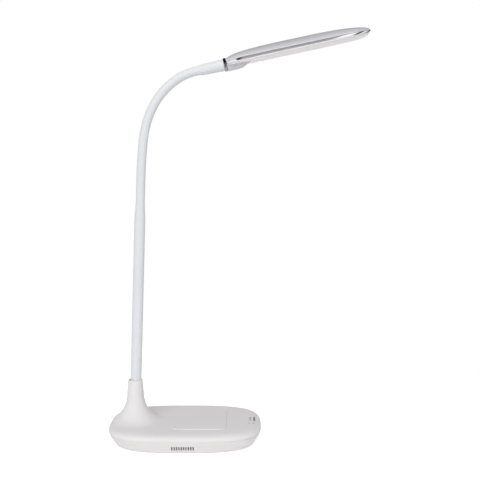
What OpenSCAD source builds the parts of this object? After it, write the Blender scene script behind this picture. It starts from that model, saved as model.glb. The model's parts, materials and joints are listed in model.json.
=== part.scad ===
// Desk lamp with a weighted base, a flexible neck and a slim light head.
// Millimetres. +X points to the head, +Z is up, and the origin is on the
// surface that the lamp stands on, under the middle of the base.

/* [Base] */
// Length of the base at its widest line
base_l = 169; // [160:1:190]
// Width of the base at its widest line
base_w = 124; // [118:1:140]
// Height of the flat top above the table
base_h = 21.3; // [20:0.1:25]
// Height of the widest line above the table
lip_h = 15.3; // [15:0.1:16.5]
// Width of the soft shoulder round the top
shoulder_w = 14; // [10:0.5:16]
// How far the foot of the lower wall stands in from the lip
undercut = 8; // [6:0.5:10]
// Wall of the two base covers
wall = 2; // [1.6:0.1:2.4]
// Thickness of the non-slip pad
pad_t = 1.5; // [1.2:0.1:2]
// Part of the pad that stands out of its pocket
pad_proud = 1; // [0.6:0.1:1]

/* [Rest on the top] */
// Length of the low raised rest
rest_l = 60; // [40:1:66]
// Width of the low raised rest
rest_w = 76; // [60:1:84]
// Height of the rest above the top
rest_h = 0.8; // [0.4:0.1:1]
// Corner radius of the rest
rest_r = 9; // [5:0.5:12]
// Distance from the middle of the base to the middle of the rest
rest_x = 16; // [12:1:20]

/* [Vents and inlet] */
// Number of vent slots
vent_count = 10; // [6:1:14]
// Distance from one vent slot to the next
vent_pitch = 2.6; // [2.2:0.1:3]
// Width of a vent slot
vent_w = 1.2; // [0.8:0.1:1.5]
// Height of a vent slot
vent_h = 4; // [3:0.5:5]
// Height of the middle of the vent slots above the table
vent_z = 6.5; // [6:0.1:8]
// Height of the power inlet above the table
jack_z = 8.8; // [8.4:0.1:9.4]
// Diameter of the power inlet's barrel
jack_d = 7.8; // [7:0.1:8]

/* [Neck boss] */
// Distance from the rear end of the base to the neck boss
boss_back = 28.3; // [27:0.1:34]
// Height of the boss above the table
boss_h = 67; // [60:1:75]
// Radius of the boss at its top
boss_top_r = 7.8; // [7.6:0.1:9]
// Radius of the boss where its straight taper ends
boss_waist_r = 9.2; // [9:0.1:10.5]
// Radius of the boss's flare at the base
flare_r = 34; // [28:0.5:36]
// Height of the flare
flare_h = 31; // [26:0.5:34]

/* [Neck] */
// Lean of the stem to the front, in degrees
lean = 2; // [0:0.5:4]
// Distance along the stem from the table to the first bend
stem_l = 266.5; // [240:1:290]
// Outer diameter of the stem's tube
tube_d = 10; // [9.6:0.1:10.2]
// Inner diameter of the stem's tube
tube_bore = 8; // [7.6:0.1:8.2]
// Wall of the sleeve on the stem
sleeve_t = 1; // [0.8:0.1:1]
// Length of the sleeve's taper at the top of the stem
taper_l = 21; // [14:1:24]
// Outer diameter of the sleeve on the flexible neck
neck_d = 10; // [9.4:0.1:10.6]
// Outer diameter of the flexible core
core_d = 7; // [6.6:0.1:7.2]
// Bore of the flexible core
core_bore = 3.2; // [2.8:0.1:3.4]
// Length of one link of the flexible neck
link_l = 21; // [19:0.5:24]
// Diameter of the lead inside the neck
lead_d = 2; // [1.6:0.1:2.2]

/* [Neck end] */
// Distance from the last bend to the middle of the chrome ring
ferrule_l = 32.4; // [31:0.1:38]
// Outer diameter of the sleeve behind the chrome ring
end_sleeve_d = 12.8; // [12:0.1:13.4]
// Outer diameter of the chrome ring
ring_d = 15.2; // [14.8:0.1:16]
// Width of the chrome ring
ring_w = 3.3; // [2.5:0.1:4]

/* [Head] */
// Length of the head past the middle of the ring
head_l = 160.5; // [150:0.5:180]
// Width of the head
head_w = 47; // [44:0.5:56]
// Height of the dome above the chrome trim
dome_h = 9.5; // [9:0.1:13]
// Height of the chrome trim
trim_h = 2.6; // [2.2:0.1:3.2]
// Wall of the dome
shell_t = 1.8; // [1.4:0.1:2]
// Width of the trim's frame, seen from below
trim_t = 2.6; // [2.2:0.1:3]
// Thickness of the diffuser, which stands out under the trim
diffuser_t = 1.8; // [1.4:0.1:2]
// Diameter of the moulded socket under the rear of the head
socket_d = 14; // [13.6:0.1:14.6]
// Length of the moulded socket
socket_l = 18.5; // [16:0.5:20]
// Number of light chips in a row
led_count = 14; // [8:1:16]

/* [Hidden] */
$fn = 48;
ring_pts = 72;             // points round a lofted outline
clear = 0.15;              // gap between parts that are assembled by hand
fit = 0.05;                // gap between a screw or pin and its hole
e = 0.5;                   // overshoot of a cut

// ---- base levels and places
floor_z = pad_proud;                       // underside of the lower cover
inner_z = floor_z + wall;                  // its inner floor
split_z = lip_h - 0.8;                     // where the two covers meet
ceiling_z = base_h - wall;                 // underside of the top
half_l = base_l / 2;
half_w = base_w / 2;
base_p = 3.2;                              // squareness of the base's outline
shoulder_p = 2.6;                          // fullness of the shoulder
neck_x = boss_back - half_l;               // axis of the neck boss
pad_in = 3;                                // pad's edge in from the foot of the wall

// ---- power inlet
jack_x = -half_l + 8.6;                    // rear of the inlet's body
jack_l = 8.5;
jack_w = 9.2;
jack_h = 9;
jack_low = jack_z - jack_h / 2;
jack_nose = 5.7;                           // length of the inlet's barrel
jack_hole_r = 2.75;
jack_pin_r = 1;

// ---- control board
board_l = 26;
board_in = 15.5;                           // its front edge, in from the front of the base
board_side = 34;                           // its long edges, in from the lip
board_x1 = half_l - board_in;
board_x0 = board_x1 - board_l;
board_y = half_w - board_side;
board_screw_l = 6;
board_t = 1.6;
board_z = inner_z + 9;
board_top = board_z + board_t;
board_hole_in = 4;

// ---- ballast plate, its pads and screws
plate_t = 4;
plate_z = inner_z + 6.5;
plate_top = plate_z + plate_t;
plate_x0 = jack_x + jack_l + 0.5;
plate_gap = 6;                             // from the plate to the board
plate_side = 27;                           // its long edges, in from the lip
plate_hole_in = 10;                        // its holes, in from the front and side edges
plate_hole_back = 26.4;                    // its rear holes, in from the rear edge
plate_x1 = board_x0 - plate_gap;
plate_y = half_w - plate_side;
plate_hole_x = [plate_x0 + plate_hole_back, plate_x1 - plate_hole_in];
plate_hole_y = plate_y - plate_hole_in;
plate_screw_l = 8.5;
plate_corner_r = 8;
spot_deep = 0.4;                           // spot faces square to the leaning stem, top and bottom
spot_s = (plate_z + plate_t / 2) / cos(lean);
plate_spot_top = spot_s + plate_t / 2 - spot_deep;
plate_spot_low = spot_s - plate_t / 2 + spot_deep;
lead_hole_off = 13;                        // the lead's hole lies this far before the neck
lead_hole_x = neck_x + lead_hole_off;
lead_hole_r = 3.2;
m3_r = 1.5;
m3_head_r = 2.8;
m3_head_h = 1.8;
post_r = 4;

// ---- leads in the base
lead_y = 0;
jack_lead_y = board_y - 12;
lead_z = board_top + 1.7;

// ---- screws that join the covers
case_back = 45;                            // rear screws, in from the rear end
case_side = 20;                            // and in from the lip
case_front = 25.5;                         // front screws, in from the front end
case_spots = [[-half_l + case_back, half_w - case_side],
              [half_l - case_front, board_y + post_r + 1]];
case_screw_l = 11;
boss_top_z = inner_z + 6;                  // where the cover's posts meet the lower bosses

// ---- touch marks on the top, near the front
touch_x = [half_l - 12.1, half_l - 7.6];
touch_len = 15;
touch_w = 1.7;
touch_y = 0.3;
dot_y = 13.2 - board_y;
mark_t = 0.3;

// ---- stem
pivot_h = 49;                              // height where the stem crosses the boss's axis
stem_x0 = neck_x - pivot_h * tan(lean);
tube_s0 = inner_z + 2.5;                   // lower end of the tube, along the stem
sleeve_r = tube_d / 2 + sleeve_t;
sleeve_s0 = 32;
taper_s = stem_l - taper_l;
tube_s1 = taper_s;                         // top of the tube
nut_t = 4;
nut_r = 9;
washer_t = 1;
washer_r = 8;
spot_r = nut_r + 0.2;

// ---- flexible neck, from the stem up
link_count = 8;
link_bend = [0, 1.5, 2.5, 8, 14, 14, 16, 20];  // bend of each link at rest, degrees
core_r = core_d / 2;
joint_gap = 0.1;                           // running gap round a hinge barrel
relief = 2.2;                              // how far a link stops short of the next hinge
sleeve_bore_r = core_r + 0.5;
lead_r = lead_d / 2;
sleeve_gap = 0.03;                         // gap between two lengths of the sleeve
rim = 0.3;                                 // width of a sleeve's end where it opens out
mouth = 2;                                 // depth of that opening, which lets the core tilt
lead_back = 4;                             // the first link's lead reaches down past its hinge
barrel_r = core_r - 0.3;                   // hinge barrel at the foot of each link
link_foot = 0.8;                           // start of the link's tube, past its hinge axis
link_end = 3.6;                            // length of each straight end of a bent link
knee = 0.06;                               // how far a bent link's knee stands proud

// ---- head, in its own frame: x along the head, z square to its trim
trim_z1 = 2.4;
trim_z0 = trim_z1 - trim_h;
diffuser_z0 = trim_z0 - diffuser_t;
diffuser_lip = 0.9;                        // rim of the diffuser, inside the trim's window
diffuser_rim = 1.2;                        // width of that rim
head_rear = -0.5;
head_p = 4;                                // squareness of the head's outline
front_rise = 7.8;                          // how far the underside stops short of the front
rear_rise = 4.5;
side_rise = 1;
ring_half = ring_w / 2;
housing_x0 = ring_half + 0.1;
socket_z = 0;
housing_top = 5.0;                         // flat top of the socket, inside the dome
thread_r = 3.5;                            // thread of the ferrule inside the socket
head_nut_r = 5.8;                          // corner radius of the ferrule's nut
slot_w = 3;                                // slot that lets the lead out of the socket
ferrule_r = 5;
cone_s = 4;                                // start of the ferrule's cone, past the last bend
ferrule_in = 14;                           // length of the ferrule inside the head
nut_seat = 3.2;                            // depth of the seat of the ferrule's nut
led_x0 = 34;
led_x1 = head_l - 22;
led_row_y = 5;
led_size = 3.5;
led_h = 0.8;
led_board_w = 20;
led_board_t = 1.6;
led_board_z = trim_z1 + 0.4;
led_board_top = led_board_z + led_board_t;
heat_t = 1;
head_screw_l = 4;                          // screws through the heat plate into the dome
heat_top = led_board_top + heat_t;
head_spots = [[led_x0 + 14, 13], [led_x1 - 14, 13]];

// ---- helpers
function side(v) = v < 0 ? -1 : 1;
function unit(v) = v / norm(v);

// Rounded outline: an ellipse of half sizes a and b, squared up by p.
function outline(a, b, p, z, x = 0) = [for (i = [0:ring_pts - 1])
    let(c = cos(360 * i / ring_pts), s = sin(360 * i / ring_pts))
    [x + a * side(c) * pow(abs(c), 2 / p), b * side(s) * pow(abs(s), 2 / p), z]];

// Base outline at a distance in from the lip.
function base_ring(inset, z) = outline(half_l - inset, half_w - inset, base_p, z);

// Head outline between two ends.
function head_ring(x0, x1, w, z) = outline((x1 - x0) / 2, w, head_p, z, (x0 + x1) / 2);

// Closed solid through a stack of outlines, lowest first.
module loft(rings) {
    n = len(rings[0]);
    last = (len(rings) - 1) * n;
    polyhedron(
        points = [for (r = rings) for (p = r) p],
        faces = concat(
            [[for (i = [0:n - 1]) i]],
            [[for (i = [n - 1:-1:0]) last + i]],
            [for (k = [0:len(rings) - 2]) for (i = [0:n - 1])
                let(a = k * n + i, b = k * n + (i + 1) % n) [a, a + n, b + n]],
            [for (k = [0:len(rings) - 2]) for (i = [0:n - 1])
                let(a = k * n + i, b = k * n + (i + 1) % n) [a, b + n, b]]));
}

// Round lead through a list of points.
lead_sides = 8;
function lead_dir(pts, i) = unit(pts[min(i + 1, len(pts) - 1)] - pts[max(i - 1, 0)]);
function lead_ring(pts, i, r) = let(t = lead_dir(pts, i), u = unit(cross([0, 1, 0], t)), v = cross(t, u))
    [for (j = [0:lead_sides - 1]) let(a = 360 * j / lead_sides) pts[i] + r * (u * cos(a) + v * sin(a))];
module lead(pts, r) loft([for (i = [0:len(pts) - 1]) lead_ring(pts, i, r)]);

// Tube of length l that bends by b degrees towards +X as it rises.
module bent_tube(l, b, ro, ri) {
    if (b < 0.1) {
        difference() {
            cylinder(r = ro, h = l);
            if (ri > 0) translate([0, 0, -e]) cylinder(r = ri, h = l + 2 * e);
        }
    } else {
        bend_r = l * 180 / (PI * b);
        translate([bend_r, 0, 0]) rotate([90, 0, 0]) rotate([0, 0, 180 - b])
            rotate_extrude(angle = b, $fn = 96) translate([bend_r, 0]) difference() {
                circle(r = ro);
                if (ri > 0) circle(r = ri);
            }
    }
}

// Cheese-head screw: its shank runs down from z = 0 and its head stands on it.
module screw(len, r = m3_r, head_r = m3_head_r, head_h = m3_head_h) {
    translate([0, 0, -len]) cylinder(r = r, h = len);
    difference() {
        cylinder(r = head_r, h = head_h);
        translate([0, 0, head_h - 0.7]) cross_slot(head_r * 1.2);
    }
}
module cross_slot(l) {
    for (a = [0, 90]) rotate([0, 0, a]) translate([-l / 2, -0.35, 0]) cube([l, 0.7, 2]);
}

// The four mirrored places of a spot.
module four(spot) {
    for (sx = [0, 1]) for (sy = [-1, 1]) translate([spot[sx][0], sy * spot[sx][1], 0]) children();
}

// Frame of the stem: its origin is where the stem's axis meets the table.
module at_stem(s = 0) {
    translate([stem_x0, 0, 0]) rotate([0, lean, 0]) translate([0, 0, s]) children();
}

// Frame of bend k, from 0 at the stem's top to link_count at the head's ferrule.
function bend_angle(k) = k == 0 ? lean : bend_angle(k - 1) + link_bend[k - 1];
function chord(b) = b < 0.1 ? link_l : 2 * (link_l * 180 / (PI * b)) * sin(b / 2);
function bend_pos(k) = k == 0
    ? [stem_x0 + stem_l * sin(lean), 0, stem_l * cos(lean)]
    : bend_pos(k - 1) + chord(link_bend[k - 1])
        * [sin(bend_angle(k - 1) + link_bend[k - 1] / 2), 0, cos(bend_angle(k - 1) + link_bend[k - 1] / 2)];
module at_bend(k) {
    translate(bend_pos(k)) rotate([0, bend_angle(k), 0]) children();
}

// Frame of the head: x runs along it from the middle of the chrome ring.
module at_head() {
    at_bend(link_count) translate([0, 0, ferrule_l]) rotate([0, -90, 0]) children();
}

echo(bends = [for (k = [0:link_count]) concat(bend_pos(k), bend_angle(k))]);

// ---- base
function shoulder_z(i) = lip_h + (base_h - lip_h)
    * pow(1 - pow(1 - min(1, i / shoulder_w), shoulder_p), 1 / shoulder_p);
function lower_inset(t) = undercut * pow(1 - t, 1.25);
shoulder_steps = [0.006, 0.03, 0.09, 0.19, 0.33, 0.5, 0.72, 1];

module cover_body(d) {
    loft(concat(
        [base_ring(0.3 + d, split_z - (d > 0 ? e : 0)), base_ring(d, lip_h - d * 0.2)],
        [for (f = shoulder_steps) base_ring(f * shoulder_w + d, shoulder_z(f * shoulder_w) - d)]));
}

module lower_body(d) {
    steps = [0.04, 0.12, 0.28, 0.5, 0.75, 1];
    z0 = floor_z + d;
    z1 = split_z + (d > 0 ? e : 0);
    loft(concat(
        [base_ring(undercut + 1.2 + d, z0)],
        [for (t = steps) base_ring(lower_inset(t) + d + 0.3 * t, z0 + (z1 - z0) * t)]));
}

// The boss: a straight taper on a flare that runs out into the top.
module boss_solid() {
    flare_z = base_h;
    steps = 14;
    rotate_extrude($fn = 96) polygon(concat(
        [[0, flare_z - wall], [flare_r, flare_z - wall]],
        [for (i = [0:steps]) let(a = 90 * i / steps)
            [flare_r - (flare_r - boss_waist_r) * sin(a), flare_z + flare_h * (1 - cos(a))]],
        [[boss_top_r, boss_h], [0, boss_h]]));
}

module boss_limit() {
    loft([base_ring(3, base_h - 3), base_ring(5, base_h + 0.2), base_ring(9, base_h + 3),
          base_ring(14, base_h + 9), base_ring(boss_back - boss_top_r - 1, boss_h + e)]);
}

module base_cover() color("whitesmoke") {
    difference() {
        union() {
            cover_body(0);
            intersection() {
                translate([neck_x, 0, 0]) boss_solid();
                boss_limit();
            }
            translate([rest_x, 0, base_h - wall / 2]) rest_block();
        }
        difference() {
            cover_body(wall);
            four(case_spots) translate([0, 0, boss_top_z]) cylinder(r = post_r, h = base_h - boss_top_z);
        }
        four(case_spots) translate([0, 0, boss_top_z - e]) cylinder(r = m3_r + fit, h = 7 + e);
        translate([neck_x, 0, inner_z]) cylinder(r = boss_top_r - 1, h = boss_h);
        touch_shapes(base_h - mark_t, mark_t + e);
    }
    four(case_spots) translate([0, 0, boss_top_z]) difference() {
        cylinder(r = post_r, h = split_z - boss_top_z);
        translate([0, 0, -e]) cylinder(r = m3_r + fit, h = 7 + e);
    }
}

module rest_block() {
    dx = rest_l / 2 - rest_r;
    dy = rest_w / 2 - rest_r;
    z = wall / 2 + rest_h;
    for (sx = [-1, 1]) for (sy = [-1, 1]) translate([sx * dx, sy * dy, 0]) cylinder(r = rest_r, h = z);
    translate([-rest_l / 2, -dy, 0]) cube([rest_l, 2 * dy, z]);
    translate([-dx, -rest_w / 2, 0]) cube([2 * dx, rest_w, z]);
}

module touch_shapes(z, h) {
    for (x = touch_x) {
        translate([x - touch_w / 2, touch_y - touch_len / 2, z]) cube([touch_w, touch_len, h]);
        translate([x, dot_y, z]) cylinder(r = 0.8, h = h);
    }
}

module touch_marks() color("dimgray") touch_shapes(base_h - mark_t, mark_t);

module base_bottom() color("whitesmoke") difference() {
    union() {
        difference() {
            lower_body(0);
            lower_body(wall);
        }
        four(case_spots) translate([0, 0, inner_z - e]) cylinder(r = post_r, h = boss_top_z - inner_z + e);
        for (x = plate_hole_x) for (sy = [-1, 1]) translate([x, sy * plate_hole_y, inner_z - e])
            cylinder(r = 5, h = plate_z - inner_z + e);
        for (x = [board_x0, board_x1]) for (sy = [-1, 1])
            translate([x + (x == board_x0 ? 1 : -1) * board_hole_in, sy * (board_y - board_hole_in),
                       inner_z - e])
                cylinder(r = 3, h = board_z - inner_z + e);
        translate([jack_x + 1, -jack_w / 2, inner_z - e]) cube([jack_l - 2, jack_w, jack_low - inner_z + e]);
    }
    four(case_spots) translate([0, 0, floor_z - e]) {
        cylinder(r = m3_r + clear, h = 9);
        cylinder(r = m3_head_r + clear, h = pad_t - pad_proud + m3_head_h + e);
    }
    for (x = plate_hole_x) for (sy = [-1, 1]) translate([x, sy * plate_hole_y, inner_z])
        cylinder(r = m3_r + fit, h = 9);
    board_holes(inner_z + 2, 9);
    translate([0, 0, floor_z - e]) linear_extrude(pad_t - pad_proud + e)
        polygon([for (p = base_ring(undercut + 1.2 + pad_in, 0)) [p[0], p[1]]]);
    for (i = [0:vent_count - 1])
        translate([(i - (vent_count - 1) / 2) * vent_pitch - vent_w / 2, -half_w - e, vent_z - vent_h / 2])
            cube([vent_w, undercut + wall + 4, vent_h]);
    translate([-half_l - e, 0, jack_z]) rotate([0, 90, 0]) cylinder(r = jack_d / 2 + 0.3, h = 12);
    translate([jack_x - clear, -jack_w / 2 - clear, jack_low]) cube([jack_l, jack_w + 2 * clear, jack_h]);
}

module board_holes(z, h, r = 1.25 + fit) {
    for (x = [board_x0 + board_hole_in, board_x1 - board_hole_in]) for (sy = [-1, 1])
        translate([x, sy * (board_y - board_hole_in), z]) cylinder(r = r, h = h);
}

module non_slip_pad() color("dimgray") linear_extrude(pad_t)
    polygon([for (p = base_ring(undercut + 1.2 + pad_in + clear, 0)) [p[0], p[1]]]);

module ballast_plate() color("darkgray") difference() {
    translate([0, 0, plate_z]) union() {
        translate([plate_x0 + plate_corner_r, -plate_y, 0])
            cube([plate_x1 - plate_x0 - 2 * plate_corner_r, 2 * plate_y, plate_t]);
        translate([plate_x0, -plate_y + plate_corner_r, 0])
            cube([plate_x1 - plate_x0, 2 * (plate_y - plate_corner_r), plate_t]);
        for (x = [plate_x0 + plate_corner_r, plate_x1 - plate_corner_r]) for (sy = [-1, 1])
            translate([x, sy * (plate_y - plate_corner_r), 0]) cylinder(r = plate_corner_r, h = plate_t);
    }
    for (x = plate_hole_x) for (sy = [-1, 1]) translate([x, sy * plate_hole_y, plate_z - e])
        cylinder(r = m3_r + clear, h = plate_t + 2 * e);
    at_stem(plate_z - 2) cylinder(r = tube_d / 2 + clear, h = plate_t + 4);
    at_stem(plate_spot_top) cylinder(r = spot_r, h = 3);
    at_stem(plate_spot_low - 3) cylinder(r = spot_r, h = 3);
    translate([lead_hole_x, 0, plate_z - e]) cylinder(r = lead_hole_r, h = plate_t + 2 * e);
}
module plate_screws() color("silver")
    for (x = plate_hole_x) for (sy = [-1, 1]) translate([x, sy * plate_hole_y, plate_top])
        screw(plate_screw_l);

module case_screws() color("silver") four(case_spots)
    translate([0, 0, floor_z + pad_t - pad_proud + m3_head_h]) mirror([0, 0, 1]) screw_up(case_screw_l);
module screw_up(len) {
    mirror([0, 0, 1]) cylinder(r = m3_r, h = len);
    difference() {
        cylinder(r = m3_head_r, h = m3_head_h - clear);
        translate([0, 0, m3_head_h - clear - 0.7]) cross_slot(m3_head_r * 1.2);
    }
}

module control_board() color("seagreen") difference() {
    translate([board_x0, -board_y, board_z]) cube([board_x1 - board_x0, 2 * board_y, board_t]);
    board_holes(board_z - e, board_t + 2 * e, 1.5);
}

module board_screws() color("silver")
    for (x = [board_x0 + board_hole_in, board_x1 - board_hole_in]) for (sy = [-1, 1])
        translate([x, sy * (board_y - board_hole_in), board_top]) screw(board_screw_l, 1.25, 2.3, 1.5);

module driver_parts() {
    color("black") translate([board_x0 + 8, -6, board_top]) cube([5, 6, 1.6]);
    color("black") translate([board_x0 + 9, 8, board_top]) cube([4, 5, 1.5]);
    color("dimgray") translate([board_x0 + 12, -17, board_top]) cube([6, 6, 3]);
    color("silver") translate([board_x0 + 5, 14 - board_y, board_top]) cylinder(r = 2.5, h = 3.8);
    color("white") translate([board_x0 + 0.5, lead_y - 2.5, board_top]) cube([4.5, 5, 3.4]);
    color("white") translate([board_x0 + 0.5, jack_lead_y - 2.5, board_top]) cube([4.5, 5, 3.4]);
}

module touch_springs() color("gold") for (y = [touch_y, dot_y]) translate([board_x1 - 3.4, y, board_top])
    difference() {
        cylinder(r = 2.6, h = ceiling_z - board_top - clear);
        translate([0, 0, -e]) cylinder(r = 1.9, h = ceiling_z);
    }

module dc_jack() color("black") difference() {
    union() {
        translate([jack_x, -jack_w / 2, jack_low]) cube([jack_l, jack_w, jack_h]);
        translate([jack_x - jack_nose, 0, jack_z]) rotate([0, 90, 0])
            cylinder(r = jack_d / 2, h = jack_nose + e);
    }
    translate([jack_x - jack_nose - e, 0, jack_z]) rotate([0, 90, 0]) difference() {
        cylinder(r = jack_hole_r, h = 9);
        cylinder(r = jack_pin_r, h = 9);
    }
}

// Leads inside the base. Their points are chosen by hand.
jack_lead_pts = [
    [jack_x + jack_l + 0.03, 3.4, jack_z - 2], [jack_x + jack_l + 0.6, 3.4, jack_z - 2],
    [jack_x + jack_l + 1.25, 4.4, jack_z - 2.1], [jack_x + jack_l + 1.7, 6.2, jack_z - 2.3],
    [jack_x + jack_l + 2.8, 9, 6.2], [jack_x + jack_l + 5.5, 12.5, 6.05], [neck_x - 1, 15, 6],
    [neck_x + 14, jack_lead_y + 0.5, 6], [-20, jack_lead_y + 1, 6], [0, jack_lead_y + 1, 6],
    [20, jack_lead_y + 1, 6], [plate_x1 - 2, jack_lead_y + 1, 6], [plate_x1 + 1.5, jack_lead_y + 0.8, 7],
    [plate_x1 + 2.6, jack_lead_y + 0.4, 9.5], [plate_x1 + 3.4, jack_lead_y + 0.2, 12.5],
    [plate_x1 + 4.4, jack_lead_y, lead_z - 0.6], [board_x0 - 0.4, jack_lead_y, lead_z],
    [board_x0 + 0.47, jack_lead_y, lead_z]];
module jack_lead() color("black") lead(jack_lead_pts, lead_r);

function on_stem(s) = [stem_x0 + s * sin(lean), 0, s * cos(lean)];
low_lead_z = inner_z + lead_r + 0.2;
stem_lead_pts = [
    [board_x0 + 0.47, 0, lead_z], [board_x0 - 6, 0, lead_z], [20, 0, lead_z], [0, 0, lead_z],
    [-20, 0, lead_z], [lead_hole_x + 5, 0, lead_z], [lead_hole_x + 2.4, 0, lead_z - 0.75],
    [lead_hole_x + 1, 0, lead_z - 2], [lead_hole_x + 0.2, 0, plate_top - 1.7],
    [lead_hole_x - 0.4, 0, plate_z - 1],
    [lead_hole_x - 1.4, 0, low_lead_z + 1.8], [lead_hole_x - 3.2, 0, low_lead_z + 0.3],
    [lead_hole_x - 6, 0, low_lead_z], [stem_x0 + 3.4, 0, low_lead_z + 0.1],
    [stem_x0 + 1.2, 0, low_lead_z + 1.2], on_stem(low_lead_z + 4), on_stem(40), on_stem(120),
    on_stem(200), on_stem(stem_l - lead_back - 0.02)];
module stem_lead() color("black") lead(stem_lead_pts, lead_r);

// ---- stem
module stem_tube() color("silver") at_stem(tube_s0) difference() {
    cylinder(r = tube_d / 2, h = tube_s1 - tube_s0);
    translate([0, 0, -e]) cylinder(r = tube_bore / 2, h = tube_s1);
}

module hex_nut() difference() {
    cylinder(r = nut_r, h = nut_t, $fn = 6);
    translate([0, 0, -e]) cylinder(r = tube_d / 2 + fit, h = nut_t + 2 * e);
}
module neck_nuts() color("gold") {
    at_stem(plate_spot_top + washer_t) hex_nut();
    at_stem(plate_spot_low - nut_t) hex_nut();
}

module neck_washers() color("silver") at_stem(plate_spot_top) difference() {
    cylinder(r = washer_r, h = washer_t);
    translate([0, 0, -e]) cylinder(r = tube_d / 2 + fit, h = washer_t + 2 * e);
}

module stem_sleeve() color("white") at_stem() rotate_extrude() polygon([
    [tube_d / 2 + 0.02, sleeve_s0], [sleeve_r, sleeve_s0], [sleeve_r, taper_s],
    [neck_d / 2, stem_l - 0.02], [neck_d / 2 - rim, stem_l - 0.02], [sleeve_bore_r, stem_l - mouth],
    [sleeve_bore_r, taper_s + 3], [tube_d / 2 + 0.02, taper_s + 1.6]]);

// Turned piece in the top of the tube, with the seat of the first bend.
module lower_ferrule() color("gold") difference() {
    at_stem() rotate_extrude() polygon([
        [core_bore / 2, taper_s - 20], [tube_bore / 2 - 0.02, taper_s - 20],
        [tube_bore / 2 - 0.02, taper_s + 0.02], [tube_d / 2 - 0.4, taper_s + 0.02],
        [tube_d / 2 - 0.4, taper_s + 1.5], [core_r, taper_s + 1.5],
        [core_r, stem_l - relief], [core_bore / 2, stem_l - relief]]);
    at_bend(0) barrel_cut(0);
}

// ---- flexible neck. Bends turn by turns about Y and about the neck's own X.
function pitch_bend(k) = k % 2 == 0;
module barrel(k, r, l) rotate(pitch_bend(k) ? [90, 0, 0] : [0, 90, 0]) cylinder(r = r, h = l, center = true);
module barrel_cut(k) barrel(k, barrel_r + joint_gap, core_d + 2);
module barrel_end(k) intersection() {
    barrel(k, barrel_r, core_d + 2);
    translate([0, 0, -core_r - 1]) cylinder(r = barrel_r, h = core_r + 3);
}

// Link i runs straight out of its bend, turns half of its rest bend twice, and
// runs straight into the next one. A link with no rest bend is one straight tube.
module link_path(i, r, from, to) {
    b = link_bend[i - 1];
    mid = chord(b) - 2 * link_end * cos(b / 2);
    if (b < 0.1) translate([0, 0, from]) cylinder(r = r, h = link_l - to - from);
    else {
        translate([0, 0, from]) cylinder(r = r, h = link_end - from);
        translate([0, 0, link_end]) {
            sphere(r = r + knee);
            rotate([0, b / 2, 0]) {
                cylinder(r = r, h = mid);
                translate([0, 0, mid]) {
                    sphere(r = r + knee);
                    rotate([0, b / 2, 0]) cylinder(r = r, h = link_end - to);
                }
            }
        }
    }
}

module neck_core(i) color("gray") difference() {
    union() {
        at_bend(i - 1) barrel_end(i - 1);
        at_bend(i - 1) link_path(i, core_r, link_foot, relief);
    }
    at_bend(i) barrel_cut(i);
    at_bend(i - 1) link_path(i, core_bore / 2, -core_r - 1, -1);
}

module neck_sleeve(i) color("white") at_bend(i - 1)
    bent_tube(link_l - sleeve_gap, link_bend[i - 1] * (1 - sleeve_gap / link_l), neck_d / 2, sleeve_bore_r);

module neck_lead(i) color("black") at_bend(i - 1) {
    bent_tube(link_l, link_bend[i - 1], lead_r, 0);
    if (i == 1) translate([0, 0, -lead_back]) cylinder(r = lead_r, h = lead_back);
}

// ---- neck end and head
module upper_ferrule() color("gold") {
    difference() {
        union() {
            at_bend(link_count) barrel_end(link_count);
            at_bend(link_count) rotate_extrude() polygon([
                [core_bore / 2, link_foot], [core_r, link_foot], [core_r, cone_s],
                [ferrule_r, cone_s + ferrule_r - core_r],
                [ferrule_r, ferrule_l + ring_half], [thread_r, ferrule_l + ring_half],
                [thread_r, ferrule_l + ferrule_in], [core_bore / 2, ferrule_l + ferrule_in]]);
        }
        at_bend(link_count) translate([0, 0, -core_r - 1]) cylinder(r = core_bore / 2, h = core_r + 4);
    }
}

module end_sleeve() color("white") at_bend(link_count) rotate_extrude() polygon([
    [neck_d / 2 - rim, 0.02], [neck_d / 2, 0.02], [end_sleeve_d / 2 - 0.5, 9],
    [end_sleeve_d / 2, ferrule_l - ring_half - 0.02], [ferrule_r + 0.02, ferrule_l - ring_half - 0.02],
    [ferrule_r + 0.02, cone_s + ferrule_r - core_r - 0.1],
    [sleeve_bore_r, cone_s + sleeve_bore_r - core_r - 0.12], [sleeve_bore_r, mouth]]);

module chrome_ring() color("silver") at_bend(link_count) translate([0, 0, ferrule_l]) rotate_extrude()
    polygon([[ferrule_r + 0.02, -ring_half], [ring_d / 2 - 0.5, -ring_half], [ring_d / 2, -ring_half + 0.5],
             [ring_d / 2, ring_half - 0.5], [ring_d / 2 - 0.5, ring_half], [ferrule_r + 0.02, ring_half]]);

// Outer body of the trim, and the same body drawn in by d.
module raked_body(z0, z1) {
    loft([for (t = [0, 0.3, 0.62, 1])
        let(z = z0 + (z1 - z0) * t, f = pow((trim_z1 - z) / (trim_z1 - diffuser_z0), rake))
        head_ring(head_rear + rear_rise * f, head_l - front_rise * f, head_w / 2 - side_rise * f, z)]);
}

// Dome on the trim, drawn in by d.
rear_full = 2.75;
front_full = 2.3;
cross_full = 2;
rake = 1.85;                               // how fast the rake under the head fades out
dome_steps = [0, 0.2, 0.4, 0.58, 0.73, 0.85, 0.93, 0.98];
module dome_body(d) {
    a = (head_l - head_rear) / 2;
    mid = (head_l + head_rear) / 2;
    loft([for (q = d > 0 ? concat([-0.06], dome_steps) : dome_steps)
        let(c = max(q, 0))
        head_ring(mid - a * pow(1 - pow(c, rear_full), 1 / rear_full) + d,
                  mid + a * pow(1 - pow(c, front_full), 1 / front_full) - d,
                  head_w / 2 * pow(1 - pow(c, cross_full), 1 / cross_full) - d * 0.9,
                  trim_z1 + (dome_h - d) * q)]);
}

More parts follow.
